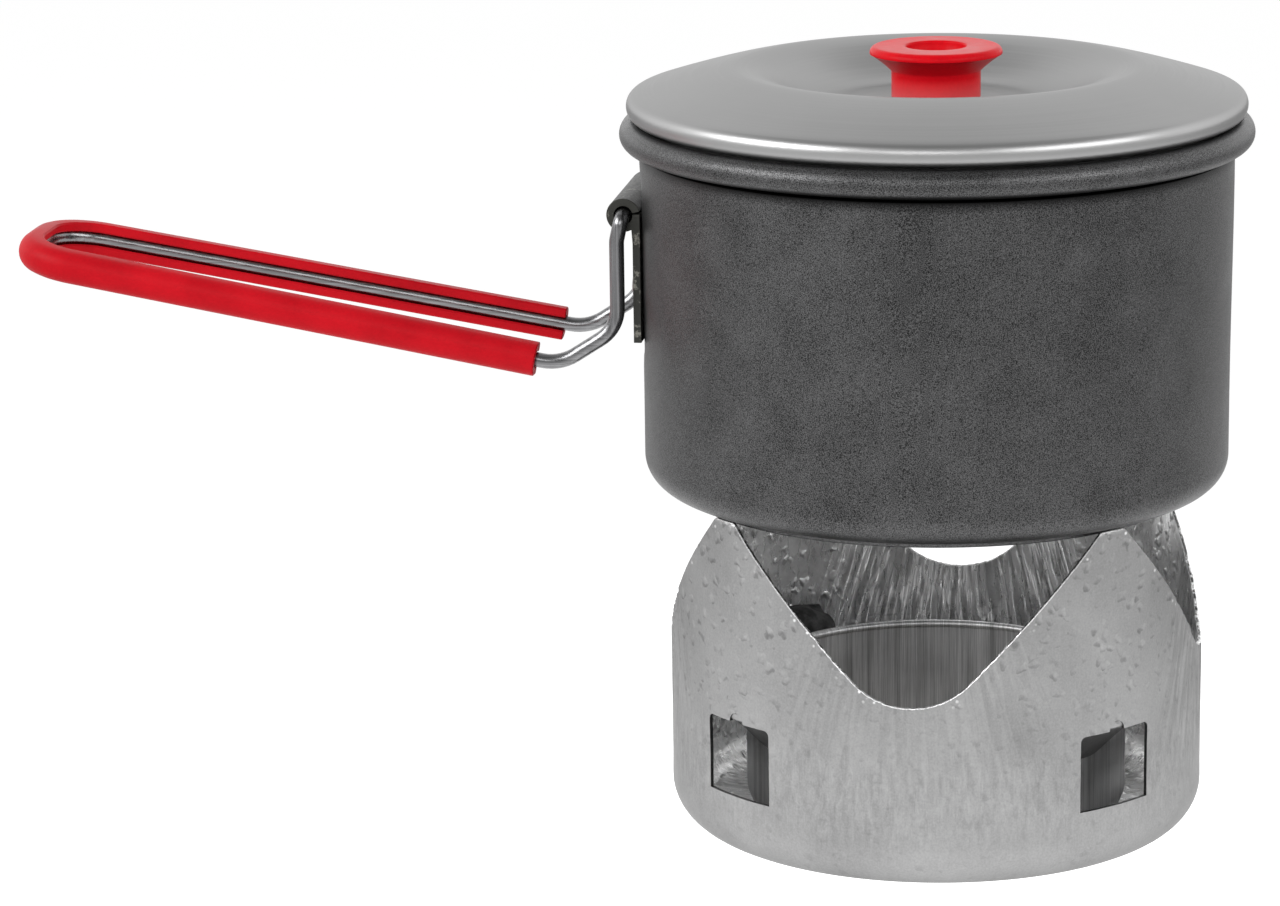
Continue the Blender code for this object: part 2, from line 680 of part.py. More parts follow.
def grip_section():
    """The sleeve's C-shaped outline as (away from the loop's middle, across the loop) points."""
    half = GRIP_HEIGHT / 2.0
    groove = WIRE_RADIUS + GAP
    mouth = GRIP_MOUTH / 2.0
    mouth_angle = 180.0 - math.degrees(math.asin(mouth / groove))
    outside = arc((GRIP_OUTER - GRIP_ROUND, half - GRIP_ROUND), GRIP_ROUND, 90.0, 0.0, 4)
    outside += [(side, -up) for side, up in reversed(outside)]
    inside = arc((0.0, 0.0), groove, -mouth_angle, mouth_angle, 9)
    lips_low = [(-GRIP_LIP, -half), (-GRIP_LIP, -mouth)]
    lips_high = [(-GRIP_LIP, mouth), (-GRIP_LIP, half)]
    return outside + lips_low + inside + lips_high


def grip_stations():
    """Frames along the loop from one sleeve end to the other."""
    _, _, knee, arm_end = handle_side()
    share = (GRIP_START - knee[0]) / (arm_end[0] - knee[0])
    start_up = knee[1] + (arm_end[1] - knee[1]) * share
    tip = TIP_SPACING / 2.0
    start = LEG_SPACING / 2.0 + (tip - LEG_SPACING / 2.0) * share
    corners = [
        (from_hinge(GRIP_START, -start, start_up), 0.0),
        (from_hinge(arm_end[0], -tip, arm_end[1]), LOOP_BEND),
        (from_hinge(arm_end[0], tip, arm_end[1]), LOOP_BEND),
        (from_hinge(GRIP_START, start, start_up), 0.0),
    ]
    path = rounded(corners, lambda turn: 7)
    across = Vector((math.sin(ARM_SLOPE), 0.0, math.cos(ARM_SLOPE)))
    stations = []
    for i, point in enumerate(path):
        back = (point - path[i - 1]).normalized() if i > 0 else None
        ahead = (path[i + 1] - point).normalized() if i < len(path) - 1 else None
        along = ((back or ahead) + (ahead or back)).normalized()
        side = across.cross(along).normalized()
        stations.append((point, side, across))
    return stations


def make_grip(look, hinge):
    grip = add_object("handle_grip", mesh_from("handle_grip", sweep(grip_section(), grip_stations())), look)
    grip.parent = hinge
    return grip


# Lid and knob


def lid_path():
    """Outer side of the lid's sheet, from its lip up round the turned-down edge and in to the screw hole."""
    lip = POT_INSIDE - LIP_CLEARANCE
    points = [(lip, LID_Z - LIP_DEPTH), (lip, LID_Z - 0.5 * MM), (lip + 0.5 * MM, LID_Z)]
    curl = (LID_RADIUS - LID_CURL, LID_Z + LID_CURL)
    slope = math.degrees(math.atan(LID_CREST_BEND * LID_CREST_RISE / (curl[0] - LID_CREST_RADIUS)))
    points += arc(curl, LID_CURL, -90.0, 90.0 - slope, 7)
    start, height = points[-1]
    steps = 4
    for i in range(1, steps + 1):
        share = 1.0 - i / steps
        radius = LID_CREST_RADIUS + (start - LID_CREST_RADIUS) * share
        points.append((radius, CREST_Z - (CREST_Z - height) * share**LID_CREST_BEND))
    steps = 6
    for i in range(1, steps + 1):
        share = 1.0 - i / steps
        radius = DISH_FLOOR_RADIUS + (LID_CREST_RADIUS - DISH_FLOOR_RADIUS) * share
        points.append((radius, DISH_Z + DISH_DEPTH * (1.0 - math.cos(math.pi * share)) / 2.0))
    points.append((SCREW_SHANK + GAP, DISH_Z))
    return points


def make_lid(look):
    section = thick_section(lid_path(), LID_SHEET)
    return add_object("lid", mesh_from("lid", lathe(section, 64)), look)


def make_knob(knob_look, metal_look):
    top = KNOB_Z + KNOB_HEIGHT
    bore = INSERT_RADIUS + GAP
    bore_top = KNOB_Z + INSERT_LENGTH + 2.0 * GAP
    section = [(0.0, bore_top), (bore, bore_top), (bore, KNOB_Z), (KNOB_STEM, KNOB_Z)]
    section += [(KNOB_STEM, top - KNOB_EDGE - KNOB_CONE), (KNOB_RADIUS - 0.2 * MM, top - KNOB_EDGE)]
    section += arc((KNOB_RADIUS - 0.5 * MM, top - 0.5 * MM), 0.5 * MM, -30.0, 90.0, 3)
    floor = top - KNOB_RECESS_DEPTH
    section += [(KNOB_RECESS + 0.5 * MM, top), (KNOB_RECESS, top - 0.5 * MM)]
    section += [(KNOB_RECESS - 0.8 * MM, floor + 0.4 * MM), (KNOB_RECESS - 1.4 * MM, floor), (0.0, floor)]
    add_object("lid_knob", mesh_from("lid_knob", lathe(section, 48)), knob_look)
    hole = SCREW_SHANK + GAP
    low = KNOB_Z
    high = KNOB_Z + INSERT_LENGTH
    insert = [(hole, low), (INSERT_RADIUS, low), (INSERT_RADIUS, high), (hole, high)]
    add_object("knob_insert", mesh_from("knob_insert", lathe(insert, 20)), metal_look)
    under_lid = DISH_Z - LID_SHEET - GAP
    washer = [(hole, under_lid - WASHER_SHEET), (WASHER_RADIUS, under_lid - WASHER_SHEET)]
    washer += [(WASHER_RADIUS, under_lid), (hole, under_lid)]
    add_object("knob_washer", mesh_from("knob_washer", lathe(washer, 28)), metal_look)
    head_top = under_lid - WASHER_SHEET - GAP
    screw = [(0.0, head_top - SCREW_HEAD_HEIGHT), (SCREW_HEAD * 0.7, head_top - SCREW_HEAD_HEIGHT)]
    screw += [(SCREW_HEAD, head_top - SCREW_HEAD_HEIGHT * 0.6), (SCREW_HEAD, head_top)]
    screw += [(SCREW_SHANK, head_top)]
    screw += [(SCREW_SHANK, high - GAP), (0.0, high - GAP)]
    add_object("knob_screw", mesh_from("knob_screw", lathe(screw, 16)), metal_look)


def main():
    clear_scene()
    bright = material("bright_aluminium", (0.62, 0.62, 0.62), 0.38, 1.0)
    dull = material("burner_aluminium", (0.30, 0.30, 0.31), 0.42, 1.0)
    anodised = material("anodised_aluminium", (0.085, 0.085, 0.088), 0.48, 0.6)
    brushed = material("lid_aluminium", (0.52, 0.52, 0.52), 0.34, 1.0)
    steel = material("handle_steel", (0.55, 0.55, 0.55), 0.25, 1.0)
    red = material("red_grip", (0.60, 0.012, 0.022), 0.42, 0.0)
    brass = material("fastener_steel", (0.50, 0.49, 0.47), 0.35, 1.0)
    felt = material("fuel_pad_fibre", (0.62, 0.60, 0.55), 0.95, 0.0)

    make_windshield(bright)
    make_burner(dull, felt, dull)
    holes = rivet_hole_cutter()
    make_pot(anodised, holes)
    make_bracket(anodised, holes)
    make_rivets(brass)

    hinge = bpy.data.objects.new("handle_hinge", None)
    hinge.location = (-HINGE_X, 0.0, HINGE_Z)
    bpy.context.scene.collection.objects.link(hinge)
    make_wire(steel, hinge)
    make_grip(red, hinge)

    make_lid(brushed)
    make_knob(red, brass)


main()
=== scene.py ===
"""Looks of the storm cooker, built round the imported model.

Metres, +Z up, the row frame. The origin is the middle of the windshield's flat underside, the handle points
along -X, and azimuths run from -Y towards +X.
"""

from math import acos, asin, atan, atan2, cos, degrees, exp, floor, hypot, pi, radians, sin, sqrt, tan

import bmesh
import bpy
from mathutils import Matrix, Vector, noise


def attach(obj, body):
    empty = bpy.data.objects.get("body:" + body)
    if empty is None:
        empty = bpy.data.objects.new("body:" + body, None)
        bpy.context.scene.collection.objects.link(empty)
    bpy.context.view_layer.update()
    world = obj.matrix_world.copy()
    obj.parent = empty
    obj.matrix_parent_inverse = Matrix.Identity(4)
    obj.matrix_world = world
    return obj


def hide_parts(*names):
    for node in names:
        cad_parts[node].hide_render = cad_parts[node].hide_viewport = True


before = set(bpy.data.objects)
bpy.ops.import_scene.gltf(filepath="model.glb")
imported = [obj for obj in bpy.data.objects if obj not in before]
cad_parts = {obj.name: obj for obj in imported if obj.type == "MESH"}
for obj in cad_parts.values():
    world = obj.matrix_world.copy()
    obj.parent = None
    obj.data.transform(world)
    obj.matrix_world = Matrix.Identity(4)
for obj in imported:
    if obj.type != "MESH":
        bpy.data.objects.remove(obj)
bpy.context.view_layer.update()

MM = 0.001
TURN = 2.0 * pi
QUARTER = TURN / 4.0
UP = Vector((0.0, 0.0, 1.0))
TINY = 1e-5  # keeps a divisor off zero
LARGE_TURN, CUP_TURN, KNOB_TURN, RIVET_TURN = 256, 192, 128, 40  # columns of the round pieces

# The photograph's camera
SENSOR_WIDTH = 36.0
LENS = 135.74
CAMERA_SPOT = Vector((0.09258, -0.98153, 0.32097))
CAMERA_BACK = Vector((0.15192, -0.95921, 0.23838)).normalized()
CAMERA_ROLL = radians(-0.824)

# Studio: the sky's greys by the sine of the height angle, and its strength on the camera's side and behind
SKY_STEPS = ((-1.0, 0.9), (0.0, 0.9), (0.2, 0.95), (0.6, 0.8), (0.8, 0.4), (1.0, 0.4))
SKY_FRONT = 0.62
SKY_BACK = 1.5
FLOOR_LIGHT = (0.05, 0.40, 1.95, 0.52)  # from this distance to this one, its glow falls from this to this
FLOOR_GLOW = 0.88
FLOOR_HALF = 6.0
FLOOR_WHITE = 1.03  # the floor as the camera sees it
BACKDROP = 1.15  # the sky as the camera sees it
LIT_SPOT = Vector((0.0, 0.0, 0.1))
SOFTBOXES = (  # name, place, width, height, power
    ("left_softbox", (-1.05, -0.62, 0.76), 1.1, 0.55, 13.5),
    ("right_softbox", (1.04, -0.62, 0.76), 1.2, 0.55, 7.5),
    ("front_softbox", (0.0, -1.45, 0.74), 0.9, 0.36, 3.4),
)

# Looks
WHITE = (1.0, 1.0, 1.0, 1.0)
NOISE_SPAN = (0.3, 0.7)  # where most of a noise's values lie
EDGE_GREY = (0.6, 0.6, 0.6, 1.0)  # bare metal's tint where it is seen at a shallow angle
BLISTER_SCALE = 330.0
BLISTER_WARP = (3.4 * MM, 3.4 * MM, 3.4 * MM)
BLISTER_LIGHT = (0.1 * MM, 0.1 * MM, 0.32 * MM)  # step towards the side that gets the painted highlight
# Specks of painted highlight along the notch edges
GLINT_SPECK_SCALE = 620.0
GLINT_SPECK_GREY = (0.95, 0.95, 0.95, 1.0)
NICK_DARK = (0.10, 0.10, 0.10, 1.0)
# Pale colour of the sheared face's nicks: painted highlight
NICK_GLINT_PALE = (0.86, 0.86, 0.86, 1.0)
# Painted shade in the crease under the pot's rim
CREASE_SHADE_BLACK = (0.004, 0.004, 0.004, 1.0)
BARE_STEEL = (0.26, 0.25, 0.22, 1.0)  # where the bracket's coat has gone
# Painted shade on the knob's downward-facing cone, and a painted reflection of the lid on its foot
CONE_SHADE_RED = (0.14, 0.001, 0.006, 1.0)
LID_REFLECTION_PINK = (0.58, 0.15, 0.155, 1.0)

# Windshield
SHIELD_RADIUS = 56.0 * MM
SHIELD_TOP = 73.1 * MM
SHIELD_SHEET = 0.8 * MM
SHIELD_CORNER = 9.25 * MM
SHIELD_COLUMNS = 760
OUTER_BEVEL = 0.2 * MM
INNER_BEVEL = 0.1 * MM
FOLD_DEPTH = 0.42 * MM
DRAG_DEPTH = 0.10 * MM
PEEL_DEPTH = 0.06 * MM
EDGE_NICKS = 0.22 * MM
LEVEL_ROWS_TOP = 36.0 * MM  # rows of the wall are level below this and follow the notches above it
NOTCH_FLOOR = 39.4 * MM
NOTCH_ROUND = 17.4 * MM
NOTCH_APEX = NOTCH_FLOOR - NOTCH_ROUND * (sqrt(2.0) - 1.0)
FAN_RISE = 75.0 * MM  # how far above the notch's floor its fan of ridges would meet
FAN_HALF_ANGLE = 0.42
FAN_TURN = 58.0  # ridges in a radian of the fan
FAN_CHANGE = 55.0  # how fast they change along their length
HOLE_AZIMUTHS = (-41.5, 46.5, 137.5, 222.5)
HOLE_HALF_WIDTH = 9.2 * MM
HOLE_LOW = 14.9 * MM
HOLE_TOP = 30.9 * MM
HOLE_CORNER = 1.2 * MM
HOLE_RELIEF = 2.0 * MM
CUTTER_REACH = (50.0 * MM, 60.0 * MM)  # through the wall
TAB_HALF_WIDTH = 8.8 * MM
TAB_SHEET = 0.76 * MM
TAB_SINK = 0.2 * MM  # how far the fold's outer face lies behind the wall's
TAB_DROP = 11.0 * MM
TAB_CURVE = 1.4
TAB_CORNER = 2.2 * MM
TAB_RIPPLE = 0.12 * MM
TAB_ROWS = 22
TAB_COLUMNS = 24
TAB_TIP_RADIUS = 41.0 * MM
TAB_FOLD = 0.8 * MM  # radius of the fold's middle line
CURLED_TAB = 3
CURL_RADIUS = 3.2 * MM
CURL_HANG = 7.0 * MM
CURL_SLUMP = 1.6 * MM
CURL_DROOP = 2.4 * MM

# Burner
CUP_RADIUS = 40.2 * MM
CUP_Z = 1.1 * MM
CUP_TOP = 30.95 * MM
CUP_SHEET = 0.8 * MM
CUP_CORNER = 6.5 * MM
CUP_RIM = 0.87 * MM
CUP_WALL_TOP = CUP_TOP - 2.2 * MM

# Pot
POT_RADIUS = 61.0 * MM
POT_SHEET = 1.2 * MM
POT_UNDERSIDE = 73.4 * MM
POT_PAD_UNDERSIDE = 72.1 * MM
POT_PAD_RADIUS = 53.6 * MM
POT_CORNER = 6.4 * MM
RIM_TOP = 150.4 * MM
RIM_MIDDLE = 147.4 * MM
RIM_ABOVE = 3.0 * MM
RIM_BELOW = 2.8 * MM
RIM_OVERHANG = 4.5 * MM
RIM_SLOT = 0.2 * MM  # gap between the rolled rim's end and the wall
RIM_NECK = 0.5 * MM
POT_FLARE = 0.4 * MM
POT_FLARE_LOW = 92.0 * MM
SEAT_X = 59.4 * MM
SEAT_LOW = 104.5 * MM
SEAT_HIGH = 134.9 * MM
SEAT_BLEND = 5.0 * MM

# Handle
HINGE_X = 63.2 * MM
HINGE_Z = 131.4 * MM
PLATE_INNER = 59.7 * MM
PLATE_SHEET = 1.6 * MM
PLATE_LOW = 104.5 * MM
PLATE_HALF_WIDTH = 16.0 * MM
KNUCKLE_RADIUS = 3.5 * MM
KNUCKLE_INSIDE = 1.9 * MM
WIRE_RADIUS = 1.55 * MM
LOOP_HALF_WIDTH = 18.0 * MM
STUB_END = 7.0 * MM
STUB_BEND = 2.0 * MM
LEG_OFFSET = 1.1 * MM
LEG_START_DROP = 5.0 * MM
LEG_START_BEND = 4.0 * MM
LEG_DROP = 23.4 * MM
LEG_BEND = 8.0 * MM
KNEE_RUN = 13.3 * MM
KNEE_DROP = 31.27 * MM
KNEE_BEND = 10.0 * MM
ARM_RUN = 128.6 * MM
ARM_SLOPE = radians(9.8)
TIP_HALF_WIDTH = 14.6 * MM
LOOP_BEND = 11.0 * MM
GRIP_START = 18.3 * MM
GRIP_HALF_HEIGHT = 3.48 * MM
GRIP_OUTER = 3.38 * MM
GRIP_BULGE = 2.9 * MM
BULGE_HALF_TURN = 62.0
GRIP_LIP = 1.68 * MM
GRIP_MOUTH = 1.45 * MM
GRIP_GROOVE = 1.85 * MM
RIVET_Y = 9.0 * MM
RIVET_Z = 115.4 * MM
RIVET_HEAD = 3.0 * MM
RIVET_HEIGHT = 0.9 * MM

# Lid and knob
LID_Z = 150.7 * MM
LID_RADIUS = 64.0 * MM
LID_CURL = 2.15 * MM
LID_CURL_HEIGHT = 2.5 * MM  # half the height of the rolled edge
LID_SHEET = 1.0 * MM
LID_CREST_RADIUS = 42.0 * MM
LID_CREST_Z = 160.9 * MM
LID_CREST_BEND = 1.25
LID_CREST_RISE = 5.2 * MM
DISH_Z = 153.8 * MM
DISH_FLOOR_RADIUS = 20.0 * MM
LIP_RADIUS = 59.2 * MM
LIP_Z = 148.4 * MM
SCREW_HOLE = 1.8 * MM
KNOB_Z = 154.1 * MM
KNOB_TOP = 164.9 * MM
KNOB_RADIUS = 13.68 * MM
KNOB_STEM = 9.2 * MM
KNOB_CONE_LOW = 159.8 * MM
KNOB_RECESS = 6.2 * MM
KNOB_RECESS_Z = 161.1 * MM
KNOB_BORE = 3.7 * MM
KNOB_BORE_TOP = 159.7 * MM


# Shape helpers


def arc(centre, radius, start, end, steps):
    """Points of an arc in a section plane, angles in degrees."""
    points = []
    for i in range(steps + 1):
        angle = radians(start + (end - start) * i / steps)
        points.append((centre[0] + radius * cos(angle), centre[1] + radius * sin(angle)))
    return points


def line(first, last, steps):
    """Points from first to last, without last."""
    return [tuple(Vector(first).lerp(Vector(last), i / steps)) for i in range(steps)]


def smooth_step(value):
    value = min(max(value, 0.0), 1.0)
    return value * value * (3.0 - 2.0 * value)


def placed(name, data):
    """A new object in the scene."""
    obj = bpy.data.objects.new(name, data)
    bpy.context.scene.collection.objects.link(obj)
    return obj


def outward_faces(mesh):
    bm = bmesh.new()
    bm.from_mesh(mesh)
    bmesh.ops.recalc_face_normals(bm, faces=bm.faces)
    bm.to_mesh(mesh)
    bm.free()


def mesh_of(name, shape, looks):
    """A mesh of a shape, which is (vertices, faces, index of each face's look)."""
    vertices, faces, face_looks = shape
    mesh = bpy.data.meshes.new(name)
    mesh.from_pydata([tuple(v) for v in vertices], [], faces)
    for look in looks:
        mesh.materials.append(look.material)
    mesh.polygons.foreach_set("material_index", face_looks)
    return mesh


def piece(name, shape, looks, body, nodes, sharp=35.0):
    """A mesh object that rides on a body and stands for CAD nodes. Edges above sharp degrees stay crisp."""
    mesh = mesh_of(name, shape, looks)
    mesh.shade_smooth()
    mesh.set_sharp_from_angle(angle=radians(sharp))
    obj = placed(name, mesh)
    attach(obj, body)
    if nodes:
        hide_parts(*nodes)
    outward_faces(mesh)
    return obj


def lathe(section, steps, place=Vector, bands=None):
    """The shape of a closed (radius, height) outline turned round Z, with a look for each segment in bands."""
    vertices, rings, faces, looks = [], [], [], []
    for radius, height in section:
        if radius == 0.0:
            rings.append([len(vertices)] * steps)
            vertices.append(Vector((0.0, 0.0, height)))
            continue
        rings.append(list(range(len(vertices), len(vertices) + steps)))
        for i in range(steps):
            angle = TURN * i / steps
            vertices.append(place(Vector((radius * sin(angle), -radius * cos(angle), height))))
    for k, ring in enumerate(rings):
        following = rings[(k + 1) % len(rings)]
        for i in range(steps):
            j = (i + 1) % steps
            corners = list(dict.fromkeys((ring[i], ring[j], following[j], following[i])))
            if len(corners) > 2:
                faces.append(corners)
                looks.append(bands[k] if bands else 0)
    return vertices, faces, looks


def tube_faces(first, count, rings):
    """Faces between rings of count vertices each, from the vertex first on, and then the two ends."""
    faces = []
    last = first + (rings - 1) * count
    for low in range(first, last, count):
        for k in range(count):
            following = (k + 1) % count
            faces.append([low + k, low + following, low + count + following, low + count + k])
    return faces + [list(range(first, first + count))[::-1], list(range(last, last + count))]


def sweep(section, stations, end_look=0):
    """The shape of a closed (side, up) outline carried through stations of (origin, side, up)."""
    vertices = [origin + side * s + up * u for origin, side, up in stations for s, u in section]
    faces = tube_faces(0, len(section), len(stations))
    return vertices, faces, [0] * (len(faces) - 2) + [end_look] * 2


def bevel(obj, name, width, segments, angle):
    """A modifier that rounds the edges above an angle in degrees."""
    modifier = obj.modifiers.new(name, "BEVEL")
    modifier.width = width
    modifier.segments = segments
    modifier.limit_method = "ANGLE"
    modifier.angle_limit = radians(angle)
    return modifier


def thick_section(path, sheet):
    """The closed outline of a sheet that lies to the left of an open path."""
    far_side = []
    for i, point in enumerate(path):
        here = Vector(point)
        into = (here - Vector(path[i - 1])).normalized() if i > 0 else None
        out = (Vector(path[i + 1]) - here).normalized() if i < len(path) - 1 else None
        into, out = into or out, out or into
        normal = Vector((-(into + out).y, (into + out).x)).normalized()
        stretch = 1.0 / max(normal.dot(Vector((-into.y, into.x))), 0.5)
        far_side.append(tuple(here + normal * sheet * stretch))
    return list(path) + far_side[::-1]


def rounded(corners, degrees_per_step, spacing):
    """A path through (point, radius) corners, each corner an arc, with points along the runs."""
    points = [corners[0][0]]
    for i in range(1, len(corners) - 1):
        corner, radius = corners[i]
        back = (corners[i - 1][0] - corner).normalized()
        ahead = (corners[i + 1][0] - corner).normalized()
        half = back.angle(ahead) / 2.0
        reach = radius / tan(half)
        centre = corner + (back + ahead).normalized() * (radius / sin(half))
        first = corner + back * reach - centre
        last = corner + ahead * reach - centre
        steps = max(2, round(degrees(pi - 2.0 * half) / degrees_per_step))
        for k in range(steps + 1):
            points.append(centre + first.slerp(last, k / steps) * radius)
    points.append(corners[-1][0])
    path = []
    for a, b in zip(points, points[1:]):
        steps = max(1, round((b - a).length / spacing))
        path += [a.lerp(b, i / steps) for i in range(steps)]
    return path + [points[-1]]


# Material helpers


class Field:
    """A number or vector that varies over a surface. Between numbers, +, - and * make Math nodes."""

    def __init__(self, tree, socket):
        self.tree = tree
        self.socket = socket

    def __add__(self, other):
        return self.tree.math("ADD", self, other)

    def __sub__(self, other):
        return self.tree.math("SUBTRACT", self, other)

    def __rsub__(self, other):
        return self.tree.math("SUBTRACT", other, self)

    def __mul__(self, other):
        return self.tree.math("MULTIPLY", self, other)


class Nodes:
    """A node tree."""

    def __init__(self, tree):
        self.tree = tree

    def node(self, kind, inputs=(), **settings):
        made = self.tree.nodes.new(f"ShaderNode{kind}")
        for key, value in settings.items():
            setattr(made, key, value)
        for key, value in dict(inputs).items():
            self.feed(made.inputs[key], value)
        return made

    def feed(self, socket, value):
        """Links a field or another node's output to an input, or writes a constant there."""
        value = getattr(value, "socket", value)
        if isinstance(value, bpy.types.NodeSocket):
            self.tree.links.new(value, socket)
        else:
            socket.default_value = value

    def field(self, kind, output, inputs=(), **settings):
        """One output of a new node."""
        return Field(self, self.node(kind, inputs, **settings).outputs[output])

    def math(self, operation, a, b=0.0, c=0.0):
        return self.field("Math", 0, {0: a, 1: b, 2: c}, operation=operation)

    def vector_math(self, operation, a, b):
        return self.field("VectorMath", 0, {0: a, 1: b}, operation=operation)

    def parts(self, vector):
        """The three numbers of a vector or colour."""
        return [Field(self, socket) for socket in self.node("SeparateXYZ", {0: vector}).outputs]

    def joined(self, x, y, z):
        return self.field("CombineXYZ", 0, {0: x, 1: y, 2: z})

    def span(self, value, low, high, to_low=0.0, to_high=1.0):
        """Carries the range from low to high over to another one, and stops at its ends."""
        inputs = {"Value": value, "From Min": low, "From Max": high, "To Min": to_low, "To Max": to_high}
        return self.field("MapRange", 0, inputs)

    def mix(self, share, a, b):
        """The colour a, or b where the share is 1."""
        return self.field("Mix", 2, {0: share, 6: a, 7: b}, data_type="RGBA")


class Look(Nodes):
    """A Principled material with procedural nodes on it."""

    def __init__(self, name, colour, roughness, metallic, **sockets):
        self.material = bpy.data.materials.new(name)
        self.material.use_nodes = True
        super().__init__(self.material.node_tree)
        self.shader = self.tree.nodes["Principled BSDF"]
        constants = {"Base_Color": (*colour, 1.0), "Roughness": roughness, "Metallic": metallic, **sockets}
        for key, value in constants.items():
            self.shader.inputs[key.replace("_", " ")].default_value = value
        self.colour = colour
        self.place = self.field("TexCoord", "Object")
        self.bumped = None

    def stretched(self, *scales):
        return self.field("Mapping", "Vector", {"Vector": self.place, "Scale": scales})

    def cylinder(self, round_scale, radius_scale, height_scale):
        """Seamless coordinates round Z: the azimuth as a point on a circle, then radius and height."""
        x, y, z = self.parts(self.place)
        radius = self.math("SQRT", x * x + y * y)
        divisor = self.math("MAXIMUM", radius, TINY)
        east, north = (self.math("DIVIDE", part, divisor) * round_scale for part in (x, y))
        return self.joined(east, north, radius * radius_scale + z * height_scale)

    def noise(self, scale, detail=2.0, roughness=0.5, distortion=0.0, place=None, output="Fac"):
        inputs = {"Vector": place or self.place, "Scale": scale, "Detail": detail, "Roughness": roughness}
        return self.field("TexNoise", output, {**inputs, "Distortion": distortion})

    def spots(self, vector, scale):
        """Distance from the nearest of many scattered points, and three random numbers of that point."""
        cell = self.node("TexVoronoi", {"Vector": vector, "Scale": scale}).outputs
        return Field(self, cell["Distance"]), self.parts(cell["Color"])

    def shade(self, tone, low, high, dark, light):
        """The look's own colour, times dark up to the low tone and times light from the high one."""
        ends = [(*[min(c * times, 1.0) for c in self.colour], 1.0) for times in (dark, light)]
        return self.mix(self.span(tone, low, high), *ends)

    def paint(self, colour):
        self.feed(self.shader.inputs["Base Color"], colour)

    def gloss(self, tone, smooth, rough):
        """Roughness that follows a noise."""
        self.feed(self.shader.inputs["Roughness"], self.span(tone, *NOISE_SPAN, smooth, rough))

    def bump(self, height, distance, strength=1.0):
        """Adds a bump, height in 0..1 standing for distance in metres."""
        inputs = {"Height": height, "Distance": distance, "Strength": strength}
        if self.bumped:
            inputs["Normal"] = self.bumped
        self.bumped = self.field("Bump", "Normal", inputs)
        self.feed(self.shader.inputs["Normal"], self.bumped)


# Looks


def notch_place(look):
    """Where the wall lies in its notch: fan angle, reach from the arc's middle, distance to the edge, x, z."""
    x, y, z = look.parts(look.place)
    turn = look.math("ARCTAN2", x, y * -1.0)
    along = look.math("WRAP", turn, pi / 4.0, -pi / 4.0) * SHIELD_RADIUS
    under = look.math("MAXIMUM", NOTCH_FLOOR + FAN_RISE - z, 0.1 * MM)
    angle = look.math("ARCTAN2", along, under)
    below = NOTCH_FLOOR + NOTCH_ROUND - z
    reach = look.math("SQRT", along * along + below * below)
    side = look.math("ABSOLUTE", along)
    flank = (side + NOTCH_APEX - z) * sqrt(0.5)
    on_arc = look.math("LESS_THAN", side, NOTCH_ROUND * sqrt(0.5))
    return angle, reach, flank + on_arc * (reach - NOTCH_ROUND - flank), x, z


def blisters(look, vector):
    """Small raised blisters, up to 1 on top, each only here and there."""
    distance, chances = look.spots(vector, BLISTER_SCALE)
    return look.span(distance, 0.10, 0.38, 1.0, 0.0) * look.span(chances[0], 0.0, 0.4, 0.25, 1.0)


